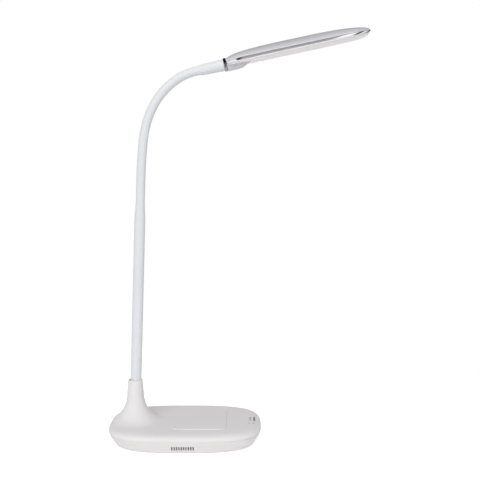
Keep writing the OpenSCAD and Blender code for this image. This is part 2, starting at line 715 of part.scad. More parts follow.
// Socket: a barrel with a rounded inner end.
module socket_solid(grow) translate([0, 0, socket_z]) rotate([0, 90, 0]) rotate_extrude() polygon([
    [0, housing_x0 - grow], [socket_d / 2 + grow, housing_x0 - grow],
    [socket_d / 2 - 0.6 + grow, socket_l], [socket_d / 2 - 5.2 + grow, socket_l + 10],
    [0, socket_l + 10 + grow]]);

module socket_housing() color("gainsboro") at_head() difference() {
    socket_solid(0);
    rotate([0, 90, 0]) cylinder(r = thread_r + fit, h = ferrule_in + 0.2);
    translate([ferrule_in - nut_seat, 0, 0]) rotate([0, 90, 0])
        cylinder(r = head_nut_r + clear, h = nut_seat + 0.5);
    translate([ferrule_in, 0, 0]) rotate([0, 90, 0]) cylinder(r = slot_w / 2, h = 20);
    translate([ferrule_in + 0.1, -slot_w / 2, 0]) cube([30, slot_w, 20]);
    translate([housing_x0 - e, -20, housing_top]) cube([40, 40, 20]);
}
module ferrule_nut() color("gold") at_head() translate([ferrule_in - nut_seat + 0.05, 0, 0])
    rotate([0, 90, 0]) difference() {
        rotate([0, 0, 30]) cylinder(r = head_nut_r, h = 2.6, $fn = 6);
        translate([0, 0, -e]) cylinder(r = thread_r + fit, h = 4);
    }

module head_shell() color("silver") at_head() difference() {
    union() {
        difference() {
            dome_body(0);
            dome_body(shell_t);
        }
        intersection() {
            dome_body(shell_t / 2);
            four(head_spots) translate([0, 0, heat_top + 0.05]) cylinder(r = 3, h = dome_h);
        }
    }
    four(head_spots) translate([0, 0, heat_top - e])
        cylinder(r = 1 + fit, h = led_board_top + head_screw_l + 0.2 - heat_top + e);
    intersection() {
        socket_solid(clear);
        translate([-1, -20, -20]) cube([60, 40, 20 + housing_top + clear]);
    }
    translate([-10, 0, 0]) rotate([0, 90, 0]) cylinder(r = thread_r + clear, h = 10 + ferrule_in + 2);
    translate([-10, -20, -20]) cube([10 + housing_x0 - 0.02, 40, 40]);
}

// Window of the trim, closed by the diffuser; d draws its outline in.
module window(d, z0, z1) translate([0, 0, z0]) linear_extrude(z1 - z0)
    polygon([for (p = head_ring(head_rear + rear_rise + trim_t + d, head_l - front_rise - trim_t - d,
                                head_w / 2 - side_rise - trim_t - d, 0)) [p[0], p[1]]]);

module trim_frame() color("lightgray") at_head() difference() {
    raked_body(trim_z0, trim_z1 - 0.02);
    union() {
        window(0, trim_z0 - e, trim_z1 + e);
        socket_solid(clear);
    }
    translate([-10, -20, -20]) cube([10 + housing_x0 - 0.02, 40, 40]);
}

module diffuser() color("ivory") at_head() difference() {
    union() {
        raked_body(diffuser_z0, trim_z0 - 0.02);
        window(clear, trim_z0 - e, trim_z0 + diffuser_lip);
    }
    window(clear + diffuser_rim, trim_z0 - 0.1, trim_z1);
    socket_solid(clear);
    translate([-10, -20, -20]) cube([10 + housing_x0 - 0.02, 40, 40]);
}

module reflector() color("white") at_head() difference() {
    translate([led_x0 - 4, -led_board_w / 2 - 2, trim_z0 + 0.05])
        cube([led_x1 - led_x0 + 8, led_board_w + 4, led_board_z - trim_z0 - 0.1]);
    translate([led_x0 - 2.5, -led_board_w / 2 + 0.5, trim_z0 - 5])
        cube([led_x1 - led_x0 + 5, led_board_w - 1, 20]);
}

module led_board() color("white") at_head() translate([led_x0 - 4, -led_board_w / 2, led_board_z])
    cube([led_x1 - led_x0 + 8, led_board_w, led_board_t]);

module leds() color("khaki") at_head() for (i = [0:led_count - 1]) for (sy = [-1, 1])
    translate([led_x0 + (led_x1 - led_x0) * i / (led_count - 1) - led_size / 2,
               sy * led_row_y - led_size / 2, led_board_z - led_h])
        cube([led_size, led_size, led_h]);

module heat_plate() color("silver") at_head() difference() {
    translate([led_x0 - 4, -head_spots[0][1] - 2.5, led_board_top])
        cube([led_x1 - led_x0 + 8, 2 * head_spots[0][1] + 5, heat_t]);
    four(head_spots) translate([0, 0, led_board_top - e]) cylinder(r = 1.2, h = heat_t + 2 * e);
}

module head_screws() color("silver") at_head() four(head_spots)
    translate([0, 0, led_board_top]) mirror([0, 0, 1]) screw_pair();
module screw_pair() {
    mirror([0, 0, 1]) cylinder(r = 1, h = head_screw_l);
    cylinder(r = 2, h = 1.2);
}

module head_lead() color("black") {
    at_bend(link_count) cylinder(r = lead_r, h = ferrule_l + ferrule_in + 6);
    at_head() lead([[ferrule_in + 6, 0, 0], [ferrule_in + 8, 0, 0.1], [ferrule_in + 10, 0, 0.6],
                    [ferrule_in + 12, 0, 1.7], [led_x0 - 6, 0, led_board_z],
                    [led_x0 - 5, 0, led_board_z + 0.6],
                    [led_x0 - 4 - 0.03, 0, led_board_z + 0.6]], lead_r * 0.99);
}

base_cover();
base_bottom();
non_slip_pad();
ballast_plate();
plate_screws();
case_screws();
control_board();
driver_parts();
touch_springs();
touch_marks();
board_screws();
dc_jack();
jack_lead();
neck_nuts();
neck_washers();
stem_tube();
stem_sleeve();
lower_ferrule();
stem_lead();
for (i = [1:link_count]) neck_core(i);
for (i = [1:link_count]) neck_sleeve(i);
for (i = [1:link_count]) neck_lead(i);
upper_ferrule();
end_sleeve();
chrome_ring();
socket_housing();
ferrule_nut();
head_shell();
trim_frame();
diffuser();
reflector();
led_board();
leds();
heat_plate();
head_screws();
head_lead();
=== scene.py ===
"""Desk lamp with a low raised rest on its base, a flexible neck and a slim light head.

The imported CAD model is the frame. This script gives it smooth skins and finishes,
and sets up the studio and the camera. Sizes are in millimetres of the model's frame
until a mesh is made.
"""

import json
import logging
import math
from dataclasses import dataclass, field
from enum import Enum

import bmesh
import bpy
from bpy.types import Material, Node, NodeSocket, Object, World
from mathutils import Matrix, Vector


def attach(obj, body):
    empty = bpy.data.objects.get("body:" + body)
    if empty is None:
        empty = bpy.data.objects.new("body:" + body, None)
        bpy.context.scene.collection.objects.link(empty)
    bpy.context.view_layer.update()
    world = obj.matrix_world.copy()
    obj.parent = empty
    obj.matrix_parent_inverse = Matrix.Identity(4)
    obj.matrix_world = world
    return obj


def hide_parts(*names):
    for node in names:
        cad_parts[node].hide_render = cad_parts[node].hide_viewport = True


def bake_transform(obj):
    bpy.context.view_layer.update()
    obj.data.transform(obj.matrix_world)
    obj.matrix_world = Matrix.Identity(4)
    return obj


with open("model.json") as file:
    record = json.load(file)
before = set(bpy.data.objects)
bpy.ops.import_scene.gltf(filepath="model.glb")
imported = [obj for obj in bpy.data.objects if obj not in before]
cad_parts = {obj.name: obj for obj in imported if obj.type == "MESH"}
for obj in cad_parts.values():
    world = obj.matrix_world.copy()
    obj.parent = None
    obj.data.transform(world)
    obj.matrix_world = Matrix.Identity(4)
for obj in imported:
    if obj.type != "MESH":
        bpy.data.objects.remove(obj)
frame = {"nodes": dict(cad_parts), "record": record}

LOG = logging.getLogger("desk_lamp")
MM = 0.001
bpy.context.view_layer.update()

# Metres within which two points are one, and under which an edge counts as nothing.
WELD, SLIVER = 1e-7, 1e-8

Ring = list[Vector]
Pair = tuple[float, float]
Triple = tuple[float, float, float]


# ---------------------------------------------------------------- small geometry


def power(value: float, exponent: float) -> float:
    """Signed power, as a superellipse needs it."""
    return math.copysign(abs(value) ** exponent, value)


def smooth(value: float) -> float:
    """Smoothstep of a value held between 0 and 1."""
    t = min(max(value, 0.0), 1.0)
    return t * t * (3 - 2 * t)


def oval_point(angle: float, half_x: float, half_y: float, squareness: float) -> Pair:
    """Point of a superellipse at an angle of its parameter."""
    p = 2 / squareness
    return half_x * power(math.cos(angle), p), half_y * power(math.sin(angle), p)


def even_angles(half_x: float, half_y: float, squareness: float, count: int) -> list[float]:
    """Angles whose points lie evenly spaced along a superellipse.

    Args:
        half_x: Half size along X.
        half_y: Half size along Y.
        squareness: Exponent of the superellipse.
        count: Number of points wanted.

    Returns:
        The angles in radians, from 0 round to just short of a full turn.
    """
    fine = 7200
    walk = [0.0]
    last = oval_point(0.0, half_x, half_y, squareness)
    for i in range(1, fine + 1):
        point = oval_point(2 * math.pi * i / fine, half_x, half_y, squareness)
        walk.append(walk[-1] + math.dist(point, last))
        last = point
    angles, at = [], 0
    for k in range(count):
        target = walk[-1] * k / count
        while walk[at + 1] < target:
            at += 1
        share = (target - walk[at]) / (walk[at + 1] - walk[at])
        angles.append(2 * math.pi * (at + share) / fine)
    return angles


def round_outline(half_x: float, half_y: float, radius: float, steps: int) -> list[Pair]:
    """Rectangle with round corners, anticlockwise.

    Args:
        half_x: Half size along X.
        half_y: Half size along Y.
        radius: Corner radius.
        steps: Points on each corner, less one.

    Returns:
        The outline's points.
    """
    points = []
    for quarter, (sx, sy) in enumerate(((1, 1), (-1, 1), (-1, -1), (1, -1))):
        mid_x, mid_y = sx * (half_x - radius), sy * (half_y - radius)
        for i in range(steps + 1):
            a = math.pi / 2 * (quarter + i / steps)
            points.append((mid_x + radius * math.cos(a), mid_y + radius * math.sin(a)))
    return points


def circle(radius: float, z: float, count: int) -> Ring:
    """Level ring of evenly spaced points round Z."""
    angles = (2 * math.pi * i / count for i in range(count))
    return [Vector((radius * math.cos(a), radius * math.sin(a), z)) for a in angles]


def turn_about(axis: str, degrees: float) -> Matrix:
    """Rotation about an axis of the frame."""
    return Matrix.Rotation(math.radians(degrees), 4, axis)


class Solid:
    """Vertices and faces of one piece, gathered ring by ring."""

    def __init__(self) -> None:
        """Starts with nothing in it."""
        self.verts: list[Vector] = []
        self.faces: list[tuple[int, ...]] = []

    def loft(self, rings: list[Ring], closed: bool = False, tip: Vector | None = None) -> "Solid":
        """Joins rings of equal count into one closed skin.

        Args:
            rings: The rings, in order.
            closed: Joins the last ring to the first, and leaves out the end faces.
            tip: Closes the last ring with a fan to this point, in place of a flat face.

        Returns:
            The solid itself.
        """
        start, count = len(self.verts), len(rings[0])
        for ring in rings:
            self.verts.extend(Vector(p) for p in ring)
        rows = len(rings) if closed else len(rings) - 1
        for k in range(rows):
            low, high = start + k * count, start + (k + 1) % len(rings) * count
            for i in range(count):
                j = (i + 1) % count
                self.faces.append((low + i, low + j, high + j, high + i))
        if not closed:
            self.faces.append(tuple(start + i for i in reversed(range(count))))
            last = start + (len(rings) - 1) * count
            if tip is None:
                self.faces.append(tuple(last + i for i in range(count)))
            else:
                self.verts.append(Vector(tip))
                top = len(self.verts) - 1
                self.faces.extend((last + i, last + (i + 1) % count, top) for i in range(count))
        return self

    def turned(self, profile: list[Pair], segments: int, closed: bool = True) -> "Solid":
        """Turns a profile of (radius, height) round Z, from the bottom up."""
        return self.loft([circle(r, z, segments) for r, z in profile], closed=closed)

    def put(self, place: Matrix) -> "Solid":
        """Moves what has been gathered by a matrix."""
        self.verts = [place @ v for v in self.verts]
        return self

    def make(self, name: str, material: Material | None, crease: float = 35.0) -> Object:
        """Makes the object, in metres, with its faces outwards and its soft edges smooth.

        Args:
            name: Name of the object.
            material: Its material, or None for a tool.
            crease: Angle in degrees from which an edge stays sharp.

        Returns:
            The object, at the origin.
        """
        mesh = bpy.data.meshes.new(name)
        mesh.from_pydata([v * MM for v in self.verts], [], self.faces)
        work = bmesh.new()
        work.from_mesh(mesh)
        bmesh.ops.remove_doubles(work, verts=work.verts, dist=WELD)
        bmesh.ops.dissolve_degenerate(work, edges=work.edges, dist=SLIVER)
        bmesh.ops.recalc_face_normals(work, faces=work.faces)
        work.to_mesh(mesh)
        work.free()
        return dress(link(bpy.data.objects.new(name, mesh)), material, crease)


def link(thing: Object) -> Object:
    """Puts an object in the scene."""
    bpy.context.scene.collection.objects.link(thing)
    return thing


def dress(thing: Object, material: Material | None, crease: float) -> Object:
    """Gives an object one material and smooth shading up to a crease angle.

    Args:
        thing: The object.
        material: Its material, or None for a tool.
        crease: Angle in degrees from which an edge stays sharp.

    Returns:
        The same object.
    """
    thing.data.materials.clear()
    if material is not None:
        thing.data.materials.append(material)
    thing.data.shade_smooth()
    thing.data.set_sharp_from_angle(angle=math.radians(crease))
    return thing


def settle(thing: Object) -> Object:
    """Turns an object's modifiers into its own plain mesh.

    Args:
        thing: The object with its modifiers.

    Returns:
        The same object, with none left.
    """
    graph = bpy.context.evaluated_depsgraph_get()
    done = bpy.data.meshes.new_from_object(thing.evaluated_get(graph))
    thing.modifiers.clear()
    thing.data = done
    return thing


class Carving(Enum):
    """What a tool solid does to a piece."""

    CUT = "DIFFERENCE"
    ADD = "UNION"


def carve(
    thing: Object, tools: list[Object], how: Carving = Carving.CUT, crease: float = 40.0
) -> Object:
    """Cuts tool solids out of a piece, or adds them to it, and deletes them.

    Args:
        thing: The piece.
        tools: The closed tool solids.
        how: Whether the tools cut or add.
        crease: Angle in degrees from which an edge stays sharp afterwards.

    Returns:
        The same piece.
    """
    material = thing.data.materials[0]
    for tool in tools:
        step = thing.modifiers.new("step", "BOOLEAN")
        step.operation, step.solver, step.object = how.value, "EXACT", tool
        bpy.context.view_layer.update()
        settle(thing)
        bpy.data.objects.remove(tool)
    return dress(thing, material, crease)


# ---------------------------------------------------------------- repeated shapes


class Field(Enum):
    """Kinds of input that a repeating tree takes."""

    COUNT = "NodeSocketInt"
    LENGTH = "NodeSocketFloat"
    SPACING = "NodeSocketVector"
    FINISH = "NodeSocketMaterial"


class Outlets:
    """Outputs of a node, found by name."""

    def __init__(self, node: Node) -> None:
        """Keeps the node."""
        self.node = node

    def __getitem__(self, name: str | int) -> NodeSocket:
        """Gives the output with that name or place."""
        return self.node.outputs[name]


class RepeatTree:
    """Geometry Nodes tree that sets rounded bars in a row."""

    INPUTS = (
        ("Count", Field.COUNT),
        ("Spacing", Field.SPACING),
        ("Width", Field.LENGTH),
        ("Length", Field.LENGTH),
        ("Corner", Field.LENGTH),
        ("Depth", Field.LENGTH),
        ("Taper", Field.LENGTH),
        ("Finish", Field.FINISH),
    )
    CORNER_STEPS = 6
    WELD_MM = 1e-6

    def __init__(self, name: str) -> None:
        """Builds the tree: one bar, set along a line and given its finish.

        Args:
            name: Name of the tree.
        """
        self.tree = bpy.data.node_groups.new(name, "GeometryNodeTree")
        ports = self.tree.interface
        for label, kind in self.INPUTS:
            ports.new_socket(label, in_out="INPUT", socket_type=kind.value)
        ports.new_socket("Geometry", in_out="OUTPUT", socket_type="NodeSocketGeometry")
        given = self.node("NodeGroupInput")
        row = self.row(given, self.bar(given))
        painted = self.node("GeometryNodeSetMaterial", Geometry=row, Material=given["Finish"])
        result = self.node("NodeGroupOutput")
        self.join(painted["Geometry"], result.node.inputs["Geometry"])

    def bar(self, given: Outlets) -> NodeSocket:
        """Adds the nodes of one bar: a rounded outline, filled, drawn out and closed.

        Args:
            given: The tree's inputs.

        Returns:
            The bar's geometry.
        """
        outline = self.node(
            "GeometryNodeCurvePrimitiveQuadrilateral", Width=given["Width"], Height=given["Length"]
        )
        fillet = self.node(
            "GeometryNodeFilletCurve", {"mode": "POLY"}, Curve=outline["Curve"],
            Radius=given["Corner"], Count=self.CORNER_STEPS,
        )
        face = self.node("GeometryNodeFillCurve", {"mode": "NGONS"}, Curve=fillet["Curve"])
        drawn = self.node(
            "GeometryNodeExtrudeMesh", {"mode": "FACES"}, Mesh=face["Mesh"], Individual=False
        )
        self.join(given["Depth"], drawn.node.inputs["Offset Scale"])
        back = self.node("GeometryNodeFlipFaces", Mesh=face["Mesh"])
        both = self.node("GeometryNodeJoinGeometry")
        self.join(drawn["Mesh"], both.node.inputs["Geometry"])
        self.join(back["Mesh"], both.node.inputs["Geometry"])
        whole = self.node(
            "GeometryNodeMergeByDistance", Geometry=both["Geometry"], Distance=self.WELD_MM
        )
        return whole["Geometry"]

    def row(self, given: Outlets, bar: NodeSocket) -> NodeSocket:
        """Adds the nodes that set bars along a line, each longer than the last by the taper.

        Args:
            given: The tree's inputs.
            bar: The bar's geometry.

        Returns:
            The row's geometry, with nothing left as an instance.
        """
        line = self.node(
            "GeometryNodeMeshLine", {"mode": "OFFSET"},
            Count=given["Count"], Offset=given["Spacing"],
        )
        order = self.node("GeometryNodeInputIndex")
        grown = self.node(
            "ShaderNodeMath", {"operation": "MULTIPLY_ADD"},
            {0: order["Index"], 1: given["Taper"], 2: 1.0},
        )
        size = self.node("ShaderNodeCombineXYZ", X=1.0, Y=grown["Value"], Z=1.0)
        spread = self.node(
            "GeometryNodeInstanceOnPoints", Points=line["Mesh"], Instance=bar, Scale=size["Vector"]
        )
        plain = self.node("GeometryNodeRealizeInstances", Geometry=spread["Instances"])
        return plain["Geometry"]

    def join(self, source: NodeSocket, target: NodeSocket) -> None:
        """Links two sockets of the tree."""
        self.tree.links.new(source, target)

    def node(
        self,
        kind: str,
        settings: dict[str, object] | None = None,
        slots: dict[int, object] | None = None,
        **inputs: object,
    ) -> Outlets:
        """Adds a node with its settings first and then its inputs.

        Args:
            kind: Type of the node.
            settings: Attributes of the node, set before its sockets are used.
            slots: Inputs given by their place.
            inputs: Inputs given by their name.

        Returns:
            The node's outputs.
        """
        made = self.tree.nodes.new(kind)
        for key, value in (settings or {}).items():
            setattr(made, key, value)
        for key, value in [*(slots or {}).items(), *inputs.items()]:
            socket = made.inputs[key]
            if isinstance(value, NodeSocket):
                self.join(value, socket)
            else:
                socket.default_value = value
        return Outlets(made)

    def build(self, name: str, place: Matrix, **values: object) -> Object:
        """Makes a plain mesh of the tree with the given inputs.

        Args:
            name: Name of the object.
            place: Where the row stands, in millimetres.
            values: Inputs of the tree by name, in millimetres.

        Returns:
            The object, at the origin, in metres.
        """
        row = link(bpy.data.objects.new(name, bpy.data.meshes.new(name)))
        modifier = row.modifiers.new("repeat", "NODES")
        modifier.node_group = self.tree
        for item in self.tree.interface.items_tree:
            if item.in_out == "INPUT" and item.name in values:
                modifier[item.identifier] = values[item.name]
        settle(row)
        row.data.transform(Matrix.Scale(MM, 4) @ place)
        row.data.update()
        return row


# ---------------------------------------------------------------- shader maths


class Wire:
    """A number or a vector on its way through a shader, with arithmetic as Python writes it."""

    def __init__(self, shader: "Shader", socket: NodeSocket) -> None:
        """Keeps the shader that the socket belongs to."""
        self.shader, self.socket = shader, socket

    def maths(self, kind: str, *others: "Wire | float", clamp: bool = False) -> "Wire":
        """Adds a Math node on this wire and the others."""
        slots = dict(enumerate((self, *others)))
        return self.shader.node("ShaderNodeMath", {"operation": kind, "use_clamp": clamp}, slots)[0]

    def __add__(self, other: "Wire | float") -> "Wire":
        """This plus the other."""
        return self.maths("ADD", other)

    __radd__ = __add__

    def __mul__(self, other: "Wire | float") -> "Wire":
        """This times the other."""
        return self.maths("MULTIPLY", other)

    __rmul__ = __mul__

    def __sub__(self, other: "Wire | float") -> "Wire":
        """This less the other."""
        return self.maths("SUBTRACT", other)

    def __rsub__(self, other: float) -> "Wire":
        """The other less this."""
        return (self * -1.0) + other

    def held(self) -> "Wire":
        """This, held between 0 and 1."""
        return self.maths("ADD", 0.0, clamp=True)


class NodeWires:
    """Outputs of a shader node as wires."""

    def __init__(self, shader: "Shader", node: Node) -> None:
        """Keeps the node and its shader."""
        self.shader, self.node = shader, node

    def __getitem__(self, name: str | int) -> Wire:
        """Gives the output with that name or place."""
        return Wire(self.shader, self.node.outputs[name])


@dataclass(frozen=True)
class Colour:
    """A colour as its sRGB levels, 0 to 255."""

    red: float
    green: float
    blue: float

    def rgba(self) -> tuple[float, float, float, float]:
        """Linear values for a socket, at most 1."""
        return (*(min(self.linear(c), 1.0) for c in (self.red, self.green, self.blue)), 1.0)

    @staticmethod
    def linear(level: float) -> float:
        """Linear value of one sRGB level."""
        c = level / 255
        return c / 12.92 if c <= 0.04045 else ((c + 0.055) / 1.055) ** 2.4

    def shade(self, gain: float) -> "Colour":
        """The same colour with its levels times a gain."""
        return Colour(*(min(c * gain, 255) for c in (self.red, self.green, self.blue)))


def grey(level: float) -> tuple[float, float, float, float]:
    """Linear values of a grey for a socket."""
    return level, level, level, 1.0


class Shader:
    """Node tree of one material or of the world, with its output node."""

    def __init__(self, name: str, world: World | None = None) -> None:
        """Starts an empty tree.

        Args:
            name: Name of the new material.
            world: World whose tree is used instead of a new material's.
        """
        self.material = None if world else bpy.data.materials.new(name)
        owner = world or self.material
        owner.use_nodes = True
        self.tree = owner.node_tree
        self.tree.nodes.clear()
        kind = "ShaderNodeOutputWorld" if world else "ShaderNodeOutputMaterial"
        self.out = self.tree.nodes.new(kind)

    def node(
        self,
        kind: str,
        settings: dict[str, object] | None = None,
        slots: dict[int | str, object] | None = None,
    ) -> NodeWires:
        """Adds a node: its settings first, then its sockets.

        Args:
            kind: Type of the node.
            settings: Attributes of the node, or "stops" for a ramp's (place, colour) pairs.
            slots: Values or wires of its inputs, by place or name.

        Returns:
            The node's outputs as wires.
        """
        made = self.tree.nodes.new(kind)
        for key, value in (settings or {}).items():
            if key == "stops":
                ramp = made.color_ramp.elements
                for i, (place, colour) in enumerate(value):
                    stop = ramp[i] if i < len(ramp) else ramp.new(place)
                    stop.position, stop.color = place, colour
            else:
                setattr(made, key, value)
        for key, value in (slots or {}).items():
            if isinstance(value, Wire):
                self.tree.links.new(value.socket, made.inputs[key])
            else:
                made.inputs[key].default_value = value
        return NodeWires(self, made)

    def place(self, scale: Triple = (1, 1, 1)) -> Wire:
        """Object coordinates in metres, stretched by a scale."""
        where = self.node("ShaderNodeTexCoord")["Object"]
        return self.node("ShaderNodeMapping", None, {"Vector": where, "Scale": scale})[0]

    def cloud(self, grain_mm: float, detail: float = 3.0, where: Wire | None = None) -> Wire:
        """Adds soft noise, about 0 to 1.

        Args:
            grain_mm: Size of its grains in millimetres.
            detail: Number of finer layers in it.
            where: Coordinates that it follows, or None for the object's own.

        Returns:
            The noise.
        """
        slots = {"Vector": where or self.place(), "Scale": 1 / (grain_mm * MM)}
        slots |= {"Detail": detail, "Roughness": 0.55}
        return self.node("ShaderNodeTexNoise", None, slots)["Fac"]

    def cells(self, size_mm: float) -> Wire:
        """Distance to the middle of cells of a size in millimetres."""
        slots = {"Vector": self.place(), "Scale": 1 / (size_mm * MM)}
        return self.node("ShaderNodeTexVoronoi", None, slots)["Distance"]

    def tint(self, low: Colour, high: Colour, share: Wire) -> Wire:
        """Mixes two colours by a wire; a Mix node takes them at 6 and 7 and gives them at 2."""
        slots = {"Factor": share.held(), 6: low.rgba(), 7: high.rgba()}
        return self.node("ShaderNodeMix", {"data_type": "RGBA"}, slots)[2]

    def ramp(self, share: Wire, stops: tuple[Pair, ...]) -> Wire:
        """Adds a grey level that follows a wire.

        Args:
            share: The wire, from 0 to 1.
            stops: Pairs of a place on the wire and the level there.

        Returns:
            The level.
        """
        greys = tuple((place, grey(level)) for place, level in stops)
        band = self.node("ShaderNodeValToRGB", {"stops": greys}, {"Fac": share})["Color"]
        return self.node("ShaderNodeRGBToBW", None, {0: band})[0]

    def bump(self, height: Wire, depth_mm: float, strength: float = 1.0) -> Wire:
        """Normal of a surface that a height from 0 to 1 raises by a depth."""
        slots = {"Height": height, "Distance": depth_mm * MM, "Strength": strength}
        return self.node("ShaderNodeBump", None, slots)["Normal"]

    def close(self, surface: Wire) -> None:
        """Leads a surface or a background to the tree's output."""
        self.tree.links.new(surface.socket, self.out.inputs["Surface"])

    def finish(self, **sockets: object) -> Material:
        """Adds the Principled shader and ends the tree with it.

        Args:
            sockets: Values or wires of its inputs, with underscores for spaces in their names.

        Returns:
            The material.
        """
        slots = {key.replace("_", " "): value for key, value in sockets.items()}
        self.close(self.node("ShaderNodeBsdfPrincipled", None, slots)["BSDF"])
        return self.material


# ---------------------------------------------------------------- finishes


@dataclass(frozen=True)
class Moulding:
    """Moulded plastic: faint clouding, a fine spark-eroded grain and a satin face.

    Attributes:
        level: Strength of its reflections.
        clouding: Share by which its colour varies.
        cloud_mm, unevenness: Size of the clouds, and how far the gloss varies with them.
        grain_mm, grain_depth, grain_gloss: Size and depth of the grain, and its own gloss.
    """

    name: str
    colour: Colour
    roughness: float = 0.45
    grain_mm: float = 0.35
    grain_depth: float = 0.004
    level: float = 0.4
    clouding: float = 0.012
    cloud_mm: float = 38.0
    unevenness: float = 0.08
    grain_gloss: float = 0.03

    def build(self) -> Material:
        """Makes the material.

        Returns:
            The material.
        """
        s = Shader(self.name)
        clouds = s.cloud(self.cloud_mm, 2.0)
        grain = s.cloud(self.grain_mm, 2.0)
        dark, pale = self.colour.shade(1 - self.clouding), self.colour.shade(1 + self.clouding)
        satin = clouds * self.unevenness + self.roughness - self.unevenness / 2
        return s.finish(
            Base_Color=s.tint(dark, pale, clouds),
            Roughness=satin + grain * self.grain_gloss,
            Specular_IOR_Level=self.level,
            Normal=s.bump(grain, self.grain_depth),
        )


@dataclass(frozen=True)
class Silicone:
    """Silicone sleeve: a soft cool white with faint dust and a fine skin.

    Attributes:
        spread: How far the gloss varies with the dust.
        dust_mm, skin_mm, skin_depth: Sizes of the dust's clouds and of the skin's grain.
    """

    name: str
    colour: Colour
    roughness: float = 0.52
    spread: float = 0.14
    dust_mm: float = 6.0
    skin_mm: float = 0.25
    skin_depth: float = 0.006

    def build(self) -> Material:
        """Makes the material.

        Returns:
            The material.
        """
        s = Shader(self.name)
        dust = s.cloud(self.dust_mm, 5.0)
        skin = s.cloud(self.skin_mm, 3.0)
        return s.finish(
            Base_Color=s.tint(self.colour.shade(0.985), self.colour.shade(1.01), dust),
            Roughness=dust * self.spread + (self.roughness - self.spread / 2),
            Specular_IOR_Level=0.35,
            Sheen_Weight=0.12,
            Sheen_Roughness=0.4,
            Normal=s.bump(skin, self.skin_depth),
        )


@dataclass(frozen=True)
class BrightMetal:
    """Plated metal: a mirror with faint haze and hairline wear.

    Attributes:
        haze: How far the breath on it and the hairlines dull it.
        stretch: Scale of the hairlines along each axis, which draws them out.
        grain_mm, breath_mm, line_depth: Sizes of the hairlines and of the breath's clouds.
    """

    name: str
    colour: Colour
    roughness: float = 0.08
    haze: float = 0.06
    stretch: Triple = (1.0, 1.0, 1.0)
    grain_mm: float = 0.8
    breath_mm: float = 9.0
    line_depth: float = 0.002

    def build(self) -> Material:
        """Makes the material.

        Returns:
            The material.
        """
        s = Shader(self.name)
        breath = s.cloud(self.breath_mm, 4.0)
        lines = s.cloud(self.grain_mm, 4.0, s.place(self.stretch))
        return s.finish(
            Base_Color=s.tint(self.colour.shade(0.97), self.colour, breath),
            Metallic=1.0,
            Roughness=breath * self.haze + lines * self.haze + self.roughness,
            Normal=s.bump(lines, self.line_depth),
        )


@dataclass(frozen=True)
class Lacquer:
    """Gloss lacquer on the dome: pale silver flakes under a clear coat.

    Attributes:
        metal, coat: Shares of metal under the coat and of the coat itself.
        flake_mm, flake_gloss: Size of the flakes, and how far the gloss varies with them.
        cloud_mm, ripple: Size and depth of the coat's slow waves.
    """

    name: str
    colour: Colour
    roughness: float = 0.28
    coat: float = 0.35
    metal: float = 0.3
    flake_mm: float = 0.18
    flake_gloss: float = 0.08
    cloud_mm: float = 22.0
    ripple: float = 0.01

    def build(self) -> Material:
        """Makes the material.

        Returns:
            The material.
        """
        s = Shader(self.name)
        flake = s.cloud(self.flake_mm, 2.0)
        clouds = s.cloud(self.cloud_mm, 2.0)
        mottle = flake * 0.5 + clouds * 0.5
        return s.finish(
            Base_Color=s.tint(self.colour.shade(0.975), self.colour.shade(1.02), mottle),
            Metallic=self.metal,
            Roughness=flake * self.flake_gloss + self.roughness,
            Coat_Weight=self.coat,
            Coat_Roughness=0.06,
            Normal=s.bump(clouds, self.ripple, 0.3),
        )


@dataclass(frozen=True)
class Opal:
    """Opal diffuser: a milky acrylic with a fine stipple that blurs what lies behind it.

    Attributes:
        milk_mm: Size of the clouds in the acrylic.
        stipple_mm, stipple_depth: Size and depth of the stipple.
        milkiness, depth_m: Share of light that goes in, and how far, in metres.
    """

    name: str
    colour: Colour
    milk_mm: float = 14.0
    stipple_mm: float = 1.1
    stipple_depth: float = 0.03
    milkiness: float = 0.25
    depth_m: float = 0.002

    def build(self) -> Material:
        """Makes the material.

        Returns:
            The material.
        """
        s = Shader(self.name)
        milk = s.cloud(self.milk_mm, 3.0)
        stipple = s.cells(self.stipple_mm)
        return s.finish(
            Base_Color=s.tint(self.colour.shade(0.98), self.colour.shade(1.01), milk),
            Roughness=milk * 0.1 + 0.4,
            Specular_IOR_Level=0.45,
            Subsurface_Weight=self.milkiness,
            Subsurface_Radius=(1.0, 0.9, 0.85),
            Subsurface_Scale=self.depth_m,
            Normal=s.bump(stipple, self.stipple_depth, 0.6),
        )


@dataclass(frozen=True)
class Laminate:
    """Circuit board: solder mask with paler tracks under it.

    Attributes:
        tracks: Scale and width of the pattern of tracks, and its offset from row to row.
        track_depth: Height of a track.
    """

    name: str
    colour: Colour
    track: Colour
    tracks: Triple = (140.0, 0.03, 0.37)
    track_depth: float = 0.02

    def build(self) -> Material:
        """Makes the material.

        Returns:
            The material.
        """
        s = Shader(self.name)
        scale, width, offset = self.tracks
        slots = {"Vector": s.place(), "Scale": scale, "Mortar Size": width}
        slots |= {"Color1": grey(0), "Color2": grey(0.1), "Mortar": grey(1)}
        lines = s.node("ShaderNodeTexBrick", {"offset": offset}, slots)["Color"]
        mask = s.node("ShaderNodeRGBToBW", None, {"Color": lines})[0]
        return s.finish(
            Base_Color=s.tint(self.colour, self.track, mask),
            Roughness=mask * -0.1 + 0.42,
            Normal=s.bump(mask, self.track_depth),
        )


